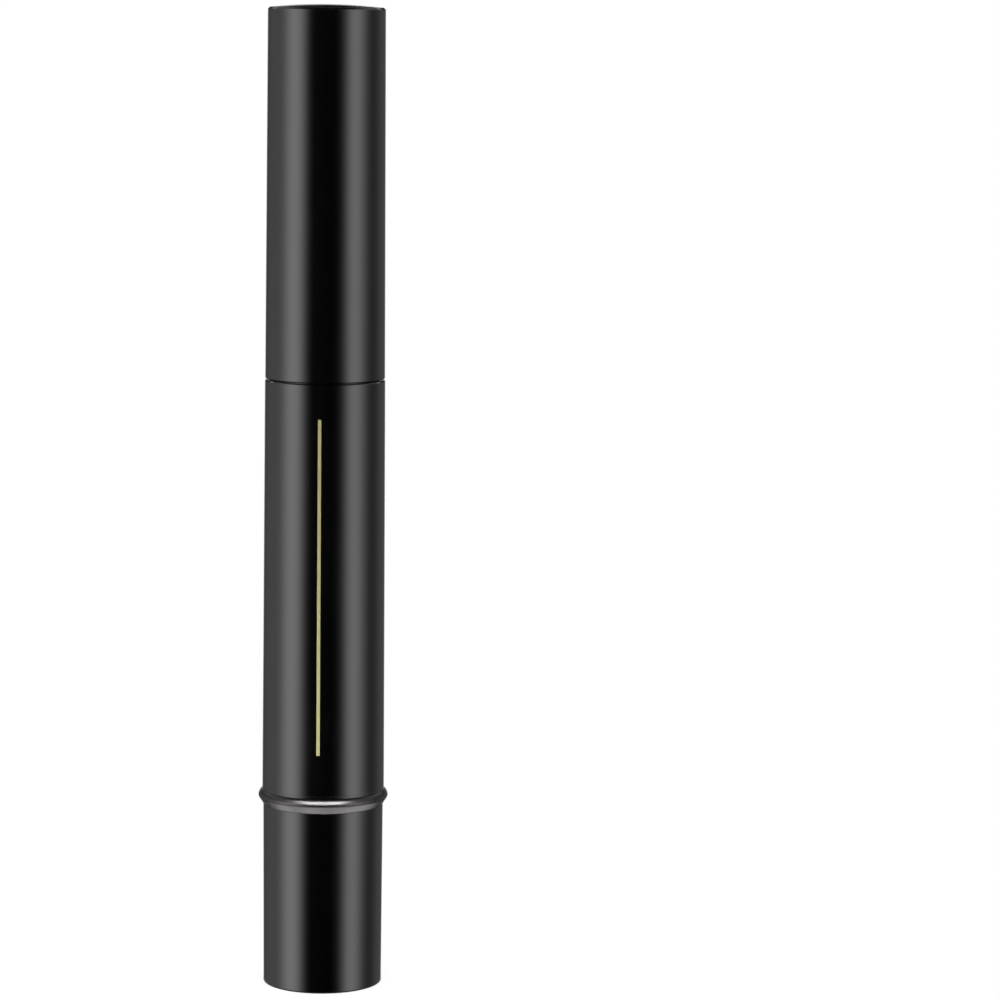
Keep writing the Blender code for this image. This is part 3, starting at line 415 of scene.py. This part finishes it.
BARREL_BORE = 7.1
BARREL_TAPER = 0.18

KNOB_FOOT_RADIUS = 7.77
KNOB_BORE = 6.90
KNOB_FLOOR = 1.2

FOIL_WIDTH = 0.45
FOIL_TURN = math.radians(-5.0)
# How deep the foil's bed and the foil's face lie under the barrel's skin, and the bed's soft lip
FOIL_DEPTH = 0.03
FOIL_PRESS = 0.012
FOIL_LIP = 0.012
FOIL_CORNER = 0.07
FOIL_END_GAP = 0.04
FOIL_SIDE_GAP = 0.006
FOIL_COLUMNS, FOIL_ROWS, FOIL_CORNER_STEPS = 6, 60, 6

RING_BORE = 6.67
RING_RIDGE_ABOVE_FOOT = 1.06
RING_LINE = 0.02
# The ring's outline upwards from its sloping foot: slope of the surface from and to, and the bend's
# radius. The solid is an even half-round band with its ridge at the same height.
RING_BENDS = ((-33, 20, 0.55), (20, 30, 1.9), (30, 60, 0.7))
RING_BEND_STEPS = 14

# The neck's steps in from its flange, and its heights above the barrel's edge. The slope into the groove
# starts a little lower than in the solid.
NECK_BODY_STEP, NECK_BODY_TOP_STEP = 0.28, 0.50
NECK_GROOVE_STEP, NECK_BEAD_STEP = 0.45, 0.14
NECK_SEAT_DEPTH = 1.8
NECK_FLANGE_TOP = 2.75
NECK_GROOVE = 4.4
NECK_BEAD_FOOT, NECK_BEAD_TOP = 4.75, 5.25
NECK_BODY_FOOT, NECK_BODY_TOP = 5.95, 11.7
NECK_WEB_FOOT, NECK_WEB_TOP = 9.0, 10.5
NECK_PLUG_RADIUS, NECK_PLUG_BORE = 6.15, 4.85
FEED_HOLE = 0.85
O_RING_BED, O_RING_INSET, O_RING_HALF_WIDTH = 5.29, 2.0, 0.52
SLEEVE_STEP, SLEEVE_WALL = 0.05, 1.5

# The ferrule from its foot: spigot, flange with a sloping shoulder, cone, and the cone's rounded-in end
FERRULE_SPIGOT_LENGTH, FERRULE_SPIGOT_RADIUS = 6.05, 3.64
FERRULE_FLANGE_EDGE, FERRULE_FLANGE_HEIGHT = 0.8, 1.65
FERRULE_FLANGE_TAPER = 0.45
CONE_BASE_STEP = 0.70
CONE_TIP_RADIUS = 2.40
CONE_SHOULDER_DROP, CONE_SHOULDER_STEP = 3.6, 0.64
CONE_STEPS = 8
BRUSH_POCKET_DEPTH, BRUSH_POCKET_GAP = 2.6, 0.05
FERRULE_HOLLOW_TOP, FERRULE_HOLLOW_SHOULDER = 14.0, 11.6

TUFT_RADIUS = 1.90
TUFT_LENGTH = 9.1
# How the brush narrows, a little slimmer than the solid: radius x (1 - closing x share ** power),
# and a round tip from the last share on
TUFT_CLOSING = 0.93
TUFT_POWER = 1.8
TUFT_TIP = 0.26
TUFT_TIP_SHARE = 0.96
TUFT_LEAN = 0.38
TUFT_LEAN_POWER = 4.0
# How far the rosier colour reaches up from the root, and how far body and strands go down into the ferrule
TUFT_BLUSH = 1.9
TUFT_ROOT = 2.3
STRAND_ROOT = 0.3
CORE_COLUMNS, CORE_ROWS = 180, 90
STRANDS = 340
STRAND_SIDES, STRAND_STEPS = 5, 16
STRAND_SEED = 11


def add_cap():
    """A thin cup with a crowned top, a bevel at each end and the snap bead in its mouth."""
    top_radius = cap_radius - CAP_TAPER
    bead = barrel_top + CAP_BEAD_ABOVE_BARREL
    half = CAP_BEAD_HEIGHT / 2

    def bore(z):
        return cap_radius - CAP_WALL - CAP_TAPER * (z - cap_mouth) / (cap_top - cap_mouth)

    crown = [CAP_CROWN_SHARE * (1 - k / CAP_CROWN_STEPS) for k in range(CAP_CROWN_STEPS + 1)]
    corners = [
        (bore(cap_mouth), cap_mouth, 0.12),
        (cap_radius, cap_mouth, -SEAM_BEVEL),
        (top_radius, cap_top - CAP_CROWN - CAP_BEVEL, 0.0),
        (top_radius - CAP_BEVEL, cap_top - CAP_CROWN + 0.02, 0.12),
        *((top_radius * share, cap_top - CAP_CROWN * share**2, 0.0) for share in crown),
        (0.0, cap_top - CAP_TOP_WALL, 0.0),
        (bore(cap_top), cap_top - CAP_TOP_WALL, 0.2),
        (bore(bead), bead + 2 * half, 0.1),
        (CAP_BEAD_RADIUS, bead + half, 0.12),
        (CAP_BEAD_RADIUS, bead - half, 0.12),
        (bore(bead), bead - 2 * half, 0.1),
    ]
    return lathe("cap_gloss", rounded(corners))


def barrel_at(z):
    """The barrel's outside radius, which tapers evenly towards the top."""
    return barrel_radius - BARREL_TAPER * (z - barrel_bottom) / (barrel_top - barrel_bottom)


def ring_outline():
    """The ring's ridge from its foot up to the barrel's skin, as r-z points."""
    first, _, bend = RING_BENDS[0]
    slope = math.radians(first)
    bottom = knob_top + RING_LINE
    r = ring_radius - bend * (1 - math.cos(slope))
    z = ring_bottom + RING_RIDGE_ABOVE_FOOT + bend * math.sin(slope)
    points = [(r + (z - bottom) * math.tan(slope), bottom), (r, z)]
    for start, end, bend in RING_BENDS:
        turn = (end - start) / RING_BEND_STEPS
        for k in range(RING_BEND_STEPS):
            before, after = math.radians(start + turn * k), math.radians(start + turn * (k + 1))
            r += bend * (math.cos(after) - math.cos(before))
            z += bend * (math.sin(after) - math.sin(before))
            points.append((r, z))
    points.append((barrel_radius, z + (r - barrel_radius) / math.tan(after)))
    return points


def add_barrel():
    """The tube, which comes down to the ring's ridge, with the foil's bed pressed into its skin."""
    foot = ring_outline()[-1][1] + RING_LINE
    foil_ends = (foil_bottom, foil_bottom + SUPPORT, foil_top - SUPPORT, foil_top)
    corners = [
        (BARREL_BORE, foot, 0.05),
        (barrel_radius, foot, 0.03),
        *((barrel_at(z), z, 0.0) for z in foil_ends),
        (barrel_at(barrel_top), barrel_top, -SEAM_BEVEL),
        (BARREL_BORE, barrel_top, 0.08),
    ]
    half = FOIL_WIDTH / 2 / barrel_radius
    lip = half + FOIL_LIP / barrel_radius
    first, last = FOIL_TURN - lip, FOIL_TURN + lip
    plain = [last + (2 * math.pi - 2 * lip) * i / SIDES for i in range(1, SIDES)]
    angles = [first, FOIL_TURN - half, FOIL_TURN, FOIL_TURN + half, last, *plain]

    def pressed(angle, r, z):
        inside = abs(angle - FOIL_TURN) <= half * 1.001 and foil_bottom < z < foil_top
        return r - FOIL_DEPTH if inside and r > barrel_at(z) - 0.001 else r

    return lathe("barrel_gloss", rounded(corners), angles, pressed)


def add_foil():
    """A thin strip that follows the barrel's curve, with its corners rounded."""
    half = FOIL_WIDTH / 2
    ends = []
    for k in range(FOIL_CORNER_STEPS + 1):
        angle = math.pi / 2 * k / FOIL_CORNER_STEPS
        rise = FOIL_END_GAP + FOIL_CORNER * (1 - math.cos(angle))
        ends.append((rise, 1 - FOIL_CORNER / half * (1 - math.sin(angle))))
    heights = [(foil_bottom + rise, wide) for rise, wide in ends]
    straight = foil_top - foil_bottom - 2 * (FOIL_CORNER + FOIL_END_GAP)
    for k in range(1, FOIL_ROWS):
        heights.append((foil_bottom + FOIL_CORNER + FOIL_END_GAP + straight * k / FOIL_ROWS, 1.0))
    heights += [(foil_top - rise, wide) for rise, wide in reversed(ends)]
    verts = []
    for z, wide in heights:
        for radius in (barrel_at(z) - FOIL_PRESS, barrel_at(z) - FOIL_DEPTH):
            for i in range(FOIL_COLUMNS + 1):
                across = wide * (half - FOIL_SIDE_GAP) * (2 * i / FOIL_COLUMNS - 1)
                angle = FOIL_TURN + across / barrel_radius
                verts.append((radius * math.sin(angle), -radius * math.cos(angle), z))
    side = FOIL_COLUMNS + 1
    row = 2 * side
    faces = []
    for k in range(len(heights) - 1):
        a, b = k * row, (k + 1) * row
        for i in range(FOIL_COLUMNS):
            faces.append((a + i, a + i + 1, b + i + 1, b + i))
            faces.append((a + side + i + 1, a + side + i, b + side + i, b + side + i + 1))
        faces.append((a, b, b + side, a + side))
        faces.append((a + FOIL_COLUMNS, a + row - 1, b + row - 1, b + FOIL_COLUMNS))
    for a in (0, (len(heights) - 1) * row):
        faces.append([a + i for i in range(side)] + [a + row - 1 - i for i in range(side)])
    return smooth(mesh_object("foil_gold", verts, faces))


def add_ring():
    """A soft ridge between knob and barrel that meets both nearly flush."""
    outline = ring_outline()
    top, bottom = outline[-1][1], outline[0][1]
    return lathe("ring_polished", [(RING_BORE, top), (RING_BORE, bottom), *outline])


def add_knob():
    """The turning cup on whose flat floor the pen stands."""
    corners = [
        (0.0, 0.0, 0.0),
        (KNOB_FOOT_RADIUS, 0.0, 0.2),
        (knob_radius, knob_top, 0.03),
        (KNOB_BORE, knob_top, 0.05),
        (KNOB_BORE, KNOB_FLOOR, 0.2),
        (0.0, KNOB_FLOOR, 0.0),
    ]
    return lathe("knob_gloss", rounded(corners))


def add_neck():
    """Plug with its seal's bed, flange, snap groove and bead, tapering body, sleeve, and the web inside."""
    up = barrel_top
    flange, plug = neck_radius, NECK_PLUG_RADIUS
    seat = up - NECK_SEAT_DEPTH
    ring_height = neck_bottom + O_RING_INSET
    bed_foot, bed_top = ring_height - O_RING_HALF_WIDTH, ring_height + O_RING_HALF_WIDTH
    bead = flange - NECK_BEAD_STEP
    sleeve = ferrule_radius + SLEEVE_STEP
    corners = [
        (NECK_PLUG_BORE, neck_bottom, 0.1),
        (plug, neck_bottom, 0.15),
        (plug, bed_foot, 0.05),
        (O_RING_BED, bed_foot, 0.08),
        (O_RING_BED, bed_top, 0.08),
        (plug, bed_top, 0.05),
        (plug, seat, 0.05),
        (flange, seat, 0.06),
        (flange, up + NECK_FLANGE_TOP, 0.12),
        (flange - NECK_GROOVE_STEP, up + NECK_GROOVE, 0.08),
        (bead, up + NECK_BEAD_FOOT, 0.25),
        (bead, up + NECK_BEAD_TOP, 0.6),
        (flange - NECK_BODY_STEP, up + NECK_BODY_FOOT, 1.2),
        (flange - NECK_BODY_TOP_STEP, up + NECK_BODY_TOP, -0.2),
        (sleeve, up + NECK_BODY_TOP, 0.05),
        (sleeve, sleeve_top, -0.06),
        (sleeve - SLEEVE_WALL, sleeve_top, 0.08),
        (sleeve - SLEEVE_WALL, up + NECK_WEB_TOP, 0.1),
        (FEED_HOLE, up + NECK_WEB_TOP, 0.05),
        (FEED_HOLE, up + NECK_WEB_FOOT, 0.05),
        (NECK_PLUG_BORE, up + NECK_WEB_FOOT, 0.2),
    ]
    return lathe("neck_black", rounded(corners, SMALL_ROUND_STEPS))


def add_ferrule():
    """Spigot, flange and cone, with the brush's pocket at the top and a hollow for the feed tube below."""
    foot = ferrule_bottom + FERRULE_SPIGOT_LENGTH
    crown = foot + FERRULE_FLANGE_HEIGHT
    shoulder = ferrule_radius - FERRULE_FLANGE_TAPER
    cone_base = shoulder - CONE_BASE_STEP
    tip, spigot = CONE_TIP_RADIUS, FERRULE_SPIGOT_RADIUS
    corners = [
        (tip, ferrule_bottom, 0.05),
        (spigot, ferrule_bottom, 0.1),
        (spigot, foot, 0.05),
        (ferrule_radius, foot, -0.09),
        (ferrule_radius, foot + FERRULE_FLANGE_EDGE, 0.06),
        (shoulder, crown, 0.3),
        (cone_base, crown, 0.06),
    ]
    base, bend, end = (
        Vector((cone_base, crown, 0.0)),
        Vector((tip + CONE_SHOULDER_STEP, ferrule_top - CONE_SHOULDER_DROP, 0.0)),
        Vector((tip, ferrule_top, 0.0)),
    )
    corners += [tuple(base.lerp(bend, k / CONE_STEPS)) for k in range(1, CONE_STEPS + 1)]
    corners += [tuple(bend.lerp(end, k / (CONE_STEPS + 1))) for k in range(1, CONE_STEPS + 1)]
    pocket, floor = TUFT_RADIUS + BRUSH_POCKET_GAP, ferrule_top - BRUSH_POCKET_DEPTH
    corners += [
        (tip, ferrule_top, -0.12),
        (pocket, ferrule_top, 0.08),
        (pocket, floor, 0.05),
        (FEED_HOLE, floor, 0.05),
        (FEED_HOLE, ferrule_bottom + FERRULE_HOLLOW_TOP, 0.0),
        (tip, ferrule_bottom + FERRULE_HOLLOW_SHOULDER, 0.1),
    ]
    return lathe("ferrule_black", rounded(corners, SMALL_ROUND_STEPS))


def add_liner():
    """The cup inside the cap that seals round the neck's sleeve."""
    flange_top, ceiling = liner_bottom + LINER_FLANGE, liner_top - LINER_TOP
    wall = LINER_BORE + LINER_WALL
    corners = [
        (LINER_BORE + 0.08, liner_bottom, 0.05),
        (liner_radius, liner_bottom, 0.12),
        (liner_radius, flange_top, 0.12),
        (wall, flange_top, 0.25),
        (wall, ceiling, 0.2),
        (liner_radius - 0.15, ceiling, 0.1),
        (liner_radius - 0.15, liner_top, 0.15),
        (0.0, liner_top, 0.0),
        (0.0, ceiling, 0.0),
        (LINER_BORE, ceiling, 0.4),
        (LINER_BORE, liner_bottom + 0.1, 0.0),
    ]
    return lathe("liner_natural", rounded(corners, SMALL_ROUND_STEPS))


def tuft_radius(share):
    """Full at the ferrule, closing to a small blunt tip."""
    full = TUFT_RADIUS * (1 - TUFT_CLOSING * share**TUFT_POWER)
    if share < TUFT_TIP_SHARE:
        return full
    return max(full, TUFT_TIP * math.sqrt((1 - share) / (1 - TUFT_TIP_SHARE)))


def brush_point(share, angle, radius, foot):
    """A point of the brush at a share of its free length, with the brush's lean."""
    lean = -TUFT_LEAN * share**TUFT_LEAN_POWER
    z = foot + TUFT_LENGTH * share
    return (radius * math.sin(angle) + lean, -radius * math.cos(angle), z)


def add_brush_core():
    """The soaked body of the brush: strands run together into a ridged, pointed mass."""
    foot = brush_tip - TUFT_LENGTH
    columns, rows = CORE_COLUMNS, CORE_ROWS
    verts = []
    for k in range(rows + 1):
        share = (k / rows) ** 0.85 * 0.998
        below = TUFT_ROOT if k == 0 else 0.0
        for i in range(columns):
            angle = 2 * math.pi * i / columns
            wide = noise.noise(Vector((3.2 * math.cos(angle), 3.2 * math.sin(angle), share * 2.2)))
            fine = noise.noise(Vector((13 * math.cos(angle), 13 * math.sin(angle), share * 3.5 + 9)))
            ridge = 1 - 0.045 + 0.022 * wide + 0.030 * fine * (0.4 + share)
            radius = max(tuft_radius(share) * ridge, 0.03)
            x, y, z = brush_point(share, angle, radius, foot)
            verts.append((x, y, z - below))
    faces = []
    for k in range(rows):
        for i in range(columns):
            j = (i + 1) % columns
            a, b = k * columns, (k + 1) * columns
            faces.append((a + i, a + j, b + j, b + i))
    faces.append(list(range(columns))[::-1])
    faces.append([rows * columns + i for i in range(columns)])
    return smooth(mesh_object("brush_core", verts, faces))


def add_brush_strands():
    """Separate strands that lie on the soaked mass, a few of them springing a little free."""
    rng = random.Random(STRAND_SEED)
    foot = brush_tip - TUFT_LENGTH
    verts = []
    faces = []
    sides, steps = STRAND_SIDES, STRAND_STEPS
    for _ in range(STRANDS):
        angle = 2 * math.pi * rng.random()
        depth = rng.uniform(0.93, 0.992)
        end = rng.uniform(0.72, 0.99)
        drift = rng.uniform(-0.10, 0.10)
        loose = rng.uniform(0.0, 0.05) if rng.random() < 0.06 else 0.0
        thick = rng.uniform(0.026, 0.042)
        base = len(verts)
        for k in range(steps + 1):
            share = end * k / steps
            radius = max(tuft_radius(share) * depth + loose * share, 0.02)
            x, y, z = brush_point(share, angle + drift * share, radius, foot)
            if k == 0:
                z -= STRAND_ROOT
            own = thick * (1 - 0.75 * k / steps)
            for s in range(sides):
                a = 2 * math.pi * s / sides
                verts.append((x + own * math.cos(a), y + own * math.sin(a), z))
        for k in range(steps):
            for s in range(sides):
                t = (s + 1) % sides
                a, b = base + k * sides, base + (k + 1) * sides
                faces.append((a + s, a + t, b + t, b + s))
        faces.append([base + s for s in range(sides)][::-1])
        faces.append([base + steps * sides + s for s in range(sides)])
    return smooth(mesh_object("brush_strands", verts, faces))


# Pieces of the pen

BLACK, RUBBED = (0.0008, 0.0008, 0.0009), (0.0045, 0.0045, 0.0048)
NECK_BLACK, NECK_RUBBED = (0.0035, 0.0035, 0.0036), (0.012, 0.012, 0.012)
SHELL_ROUGHNESS, NECK_ROUGHNESS = 0.12, 0.11
# How far wear reaches from an edge: at the seams and the knob's ends, and at the cap's top
SEAM_WEAR, END_WEAR, TOP_WEAR = 0.15, 0.2, 0.5

dress(
    add_cap(), "cap", "black_gloss",
    lacquer(
        "cap_lacquer", BLACK, RUBBED, SHELL_ROUGHNESS,
        ((cap_radius, cap_mouth, SEAM_WEAR), (cap_radius - CAP_TAPER, cap_top - CAP_CROWN, TOP_WEAR)),
    ), "cap_shell",
)
dress(
    add_barrel(), "barrel", "black_gloss",
    lacquer(
        "barrel_lacquer", BLACK, RUBBED, SHELL_ROUGHNESS,
        ((barrel_at(barrel_top), barrel_top, SEAM_WEAR), (barrel_radius, barrel_bottom, END_WEAR)),
    ), "barrel_shell",
)
dress(
    add_knob(), "knob", "black_gloss",
    lacquer(
        "knob_lacquer", BLACK, RUBBED, SHELL_ROUGHNESS,
        ((knob_radius, knob_top, END_WEAR), (KNOB_FOOT_RADIUS, 0.0, END_WEAR)),
    ), "knob_shell",
)
dress(add_foil(), "barrel", "gold_foil", pressed_foil(), "foil_line")
dress(add_ring(), "barrel", "dark_ring", polished_ring(), "trim_ring")
neck_black = lacquer("neck_moulding", NECK_BLACK, NECK_RUBBED, NECK_ROUGHNESS)
dress(add_neck(), "barrel", "black_neck", neck_black, "neck_housing")
dress(add_ferrule(), "barrel", "black_neck", neck_black, "brush_ferrule")
dress(
    add_liner(), "cap", "natural_liner",
    moulded("liner_polyethylene", (0.70, 0.70, 0.67), (0.78, 0.78, 0.76), 0.40, 0.25), "inner_cap",
)
# PALE_PINK is the colour of the paler streaks, and also the painted sheen at the brush's rims.
PINK, DEEP_PINK, PALE_PINK = (1.0, 0.230, 0.435), (0.95, 0.125, 0.245), (1.0, 0.43, 0.60)
STRAND_PINK = (1.0, 0.21, 0.42)
dress(
    add_brush_core(), "barrel", "pink_bristle",
    wet_nylon("brush_soaked", PINK, DEEP_PINK, PALE_PINK, 0.30), "bristle_tuft",
)
dress(
    add_brush_strands(), "barrel", "pink_bristle",
    wet_nylon("brush_nylon", STRAND_PINK, PINK, PALE_PINK, 0.34),
)

INNER_FINISHES = {
    "feed_tube": moulded("tube_nylon", (0.80, 0.80, 0.78), (0.74, 0.74, 0.71), 0.32, 0.2),
    "reservoir_tube": moulded("tube_polypropylene", (0.78, 0.78, 0.76), (0.72, 0.72, 0.70), 0.28, 0.2),
    "neck_o_ring": seal_rubber(),
    "mechanism_housing": moulded("housing_acetal", (0.60, 0.61, 0.62), (0.54, 0.55, 0.56), 0.38),
    "ratchet_ring": moulded("ratchet_acetal", (0.50, 0.52, 0.55), (0.45, 0.47, 0.50), 0.36),
    "rod_nut": moulded("nut_acetal", (0.58, 0.60, 0.62), (0.52, 0.54, 0.56), 0.36),
    "click_rotor": moulded("rotor_acetal", (0.80, 0.80, 0.78), (0.74, 0.74, 0.72), 0.34),
    "piston_rod": moulded("screw_acetal", (0.76, 0.76, 0.74), (0.70, 0.70, 0.68), 0.33),
    "piston": moulded("piston_polyethylene", (0.82, 0.82, 0.81), (0.76, 0.76, 0.74), 0.38, 0.2),
    "knob_core": moulded("core_plastic", (0.050, 0.050, 0.052), (0.036, 0.036, 0.038), 0.42),
}
for node, material in INNER_FINISHES.items():
    NODES[node].data.materials.clear()
    NODES[node].data.materials.append(material)


# Studio: an endless white ground, a tall soft box on each side of the camera and one above it

# How bright the surroundings are, by bearing from the front in degrees, to the right of the pen
STUDIO_RING = [
    (-150, 0.15), (-128, 0.44), (-106, 0.80), (-97, 1.07), (-89, 1.55), (-81, 2.40),
    (-73, 3.20), (-66, 3.60), (-60, 3.60), (-53, 3.15), (-47, 2.30), (-41, 1.30), (-35, 0.50),
    (-29, 0.13), (-23, 0.03), (15, 0.0), (23, 0.06), (29, 0.22), (35, 0.70), (41, 1.50), (47, 2.45),
    (53, 3.00), (60, 3.10), (66, 2.75), (73, 2.05), (81, 1.20), (89, 0.62), (97, 0.33), (106, 0.26),
    (128, 0.34), (150, 0.20), (180, 0.12),
]
STUDIO_PEAK = 4.0

# Below, heights above the horizon and bearings from the front are in degrees. A window is its two ends and
# the softness of its edges, and a slope is where it starts and ends.
SIDES_HEIGHTS = (-23, 15, 7)
# The box above the camera. Soft rays see it broad and even, and reflections see only its hot middle.
LAMP_BEARINGS = (-48, 44, 12)
LAMP_HEIGHTS, LAMP_LEVEL = (20, 48, 5), 2.6
GLINT_HEIGHTS, GLINT_LEVEL = (35, 47, 3), 40.0
# A weak band all round, which slopes that face up reflect, and a soft one above it that grows to the back
HALO_HEIGHTS, HALO_LEVEL = (24.5, 30, 2), 1.5
ROOF_HEIGHTS, ROOF_BEARINGS, ROOF_LEVEL = (34, 60, 8), (68.75, 126.05), 0.7
# The ground far below, which starts lower in front and is weaker at the back
GROUND_HEIGHTS, GROUND_LEVEL = (-30, -56), 3.9
GROUND_LOWERED, GROUND_LOWERED_BEARINGS = 8, (50, 110)
BACK_BEARINGS, GROUND_BACK_SHARE = (130, 155), 0.3
# The white backdrop right behind the pen, and the height at which all that stands at the back goes dark
BACKDROP_BEARINGS = (160, 172)
BACK_TOP_HEIGHTS = (5, 8)
FILL_LEVEL = 0.45


def build_world():
    """Light the pen with the studio, and show the camera plain white."""
    world = bpy.data.worlds.new("studio")
    bpy.context.scene.world = world
    world.use_nodes = True
    m = Nodes.__new__(Nodes)
    m.tree = world.node_tree
    m.tree.nodes.clear()
    x, y, z = m.split(m.add("ShaderNodeTexCoord").outputs["Generated"])
    bearing = m.maths("ARCTAN2", x, m.maths("MULTIPLY", y, -1.0))
    behind = m.maths("ABSOLUTE", bearing)
    height = m.maths("ARCSINE", z)
    light = m.add("ShaderNodeLightPath")
    sharp = m.mirrored(light)
    soft = m.maths("SUBTRACT", 1.0, sharp)

    def slope(angle, start, end, low, high):
        return m.ranged(angle, math.radians(start), math.radians(end), low, high)

    def window(angle, low, high, edge):
        up = slope(angle, low - edge, low + edge, 0.0, 1.0)
        down = slope(angle, high - edge, high + edge, 1.0, 0.0)
        return m.maths("MULTIPLY", up, down)

    def combined(operation, first, *others):
        for other in others:
            first = m.maths(operation, first, other)
        return first

    def product(*values):
        return combined("MULTIPLY", *values)

    ramp = m.add("ShaderNodeValToRGB")
    ramp.color_ramp.interpolation = "LINEAR"
    stops = ramp.color_ramp.elements
    while len(stops) < len(STUDIO_RING):
        stops.new(1.0)
    for stop, (degrees, level) in zip(stops, STUDIO_RING):
        stop.position = (degrees + 180) / 360
        stop.color = (level / STUDIO_PEAK,) * 3 + (1.0,)
    m.link(m.maths("MULTIPLY_ADD", bearing, 1 / (2 * math.pi), 0.5), ramp.inputs["Fac"])
    sides = product(ramp.outputs["Color"], STUDIO_PEAK, window(height, *SIDES_HEIGHTS))

    ahead = window(bearing, *LAMP_BEARINGS)
    lamp = product(ahead, window(height, *LAMP_HEIGHTS), LAMP_LEVEL, soft)
    glint = product(ahead, window(height, *GLINT_HEIGHTS), GLINT_LEVEL, sharp)
    halo = product(window(height, *HALO_HEIGHTS), HALO_LEVEL, sharp)
    roof = product(slope(behind, *ROOF_BEARINGS, 0.0, 1.0), window(height, *ROOF_HEIGHTS), ROOF_LEVEL)
    fill = product(soft, FILL_LEVEL)

    lowered = slope(behind, *GROUND_LOWERED_BEARINGS, math.radians(GROUND_LOWERED), 0.0)
    below = slope(m.maths("ADD", height, lowered), *GROUND_HEIGHTS, 0.0, GROUND_LEVEL)
    below = product(below, slope(behind, *BACK_BEARINGS, 1.0, GROUND_BACK_SHARE))
    backdrop = slope(behind, *BACKDROP_BEARINGS, 0.0, 1.0)
    ground = product(m.maths("MAXIMUM", backdrop, below), sharp)

    dark = product(slope(height, *BACK_TOP_HEIGHTS, 0.0, 1.0), slope(behind, *BACK_BEARINGS, 0.0, 1.0))
    standing = product(m.maths("ADD", sides, ground), m.maths("SUBTRACT", 1.0, dark))

    studio = m.add("ShaderNodeBackground")
    m.link(combined("ADD", standing, lamp, glint, roof, fill, halo), studio.inputs["Strength"])
    white = m.add("ShaderNodeBackground")
    for background in (studio, white):
        background.inputs["Color"].default_value = (1.0, 1.0, 1.0, 1.0)
    mix = m.add("ShaderNodeMixShader")
    m.link(light.outputs["Is Camera Ray"], mix.inputs["Fac"])
    m.link(studio.outputs["Background"], mix.inputs[1])
    m.link(white.outputs["Background"], mix.inputs[2])
    m.link(mix.outputs["Shader"], m.add("ShaderNodeOutputWorld").inputs["Surface"])


FLOOR_RADIUS = 90.0
FLOOR_SIDES = 96
FLOOR_HEIGHT = -0.02
FLOOR_PAPER = (0.30, 0.30, 0.30, 1.0)
# The floor's own glow, as the camera and as reflections see it
FLOOR_SEEN, FLOOR_MIRRORED = 0.80, 0.25
# Where the floor fades out from the axis: for the camera, and for reflections, which see only its middle
FLOOR_FADE = (40.0, 88.0)
FLOOR_MIRRORED_FADE = (7.8, 8.8)


def build_floor():
    """A pale round table top that fades into the white ground and keeps the pen's shadow."""
    verts = [(0.0, 0.0, FLOOR_HEIGHT)]
    for i in range(FLOOR_SIDES):
        a = 2 * math.pi * i / FLOOR_SIDES
        verts.append((FLOOR_RADIUS * math.cos(a), FLOOR_RADIUS * math.sin(a), FLOOR_HEIGHT))
    faces = [(0, 1 + i, 1 + (i + 1) % FLOOR_SIDES) for i in range(FLOOR_SIDES)]
    floor = mesh_object("floor", verts, faces)
    m = Nodes("floor_white")
    m.tree.nodes.remove(m.shader)
    output = next(n for n in m.tree.nodes if n.type == "OUTPUT_MATERIAL")
    radius = m.add("ShaderNodeVectorMath", operation="LENGTH")
    m.link(m.place, radius.inputs[0])
    far = radius.outputs["Value"]
    light = m.add("ShaderNodeLightPath")
    sharp = m.mirrored(light)
    seen = m.maths("MULTIPLY", light.outputs["Is Camera Ray"], FLOOR_SEEN)
    glow = m.add("ShaderNodeEmission")
    m.link(m.maths("MULTIPLY_ADD", sharp, FLOOR_MIRRORED, seen), glow.inputs["Strength"])
    paper = m.add("ShaderNodeBsdfDiffuse")
    paper.inputs["Color"].default_value = FLOOR_PAPER
    both = m.add("ShaderNodeAddShader")
    m.link(glow.outputs["Emission"], both.inputs[0])
    m.link(paper.outputs["BSDF"], both.inputs[1])
    fade = m.ranged(far, FLOOR_FADE[0] * MM, FLOOR_FADE[1] * MM, 1.0, 0.0)
    near = m.ranged(far, FLOOR_MIRRORED_FADE[0] * MM, FLOOR_MIRRORED_FADE[1] * MM, 1.0, 0.0)
    shown = m.maths("MAXIMUM", near, m.maths("SUBTRACT", 1.0, sharp))
    clear = m.add("ShaderNodeBsdfTransparent")
    mix = m.add("ShaderNodeMixShader")
    m.link(m.maths("MINIMUM", fade, shown), mix.inputs["Fac"])
    m.link(clear.outputs["BSDF"], mix.inputs[1])
    m.link(both.outputs["Shader"], mix.inputs[2])
    m.link(mix.outputs["Shader"], output.inputs["Surface"])
    floor.data.materials.append(m.material)


# Camera, at the photograph's viewing angle: the eye level with the pen's top, looking down and aside

IMAGE_SIZE = 1000
SENSOR = 36.0
DISTANCE = 500.0
EYE_HEIGHT = 126.36
FOCAL_PIXELS = 3864.5
PITCH = math.radians(-7.1)
YAW = math.radians(-2.619)
ROLL = math.radians(0.608)
CLIP = (0.02, 20.0)


def build_camera():
    """A plain camera without shift or depth of field."""
    data = bpy.data.cameras.new("camera")
    camera = bpy.data.objects.new("camera", data)
    bpy.context.scene.collection.objects.link(camera)
    data.sensor_width = SENSOR
    data.lens = FOCAL_PIXELS * SENSOR / IMAGE_SIZE
    data.clip_start, data.clip_end = CLIP
    camera.location = (0.0, -DISTANCE * MM, EYE_HEIGHT * MM)
    camera.rotation_mode = "QUATERNION"
    level = math.cos(PITCH)
    forward = Vector((math.sin(-YAW) * level, math.cos(YAW) * level, math.sin(PITCH)))
    facing = forward.to_track_quat("-Z", "Y")
    camera.rotation_quaternion = facing @ Quaternion((0.0, 0.0, 1.0), ROLL)
    bpy.context.scene.camera = camera


build_world()
build_floor()
build_camera()
bpy.context.scene.view_settings.view_transform = "Standard"
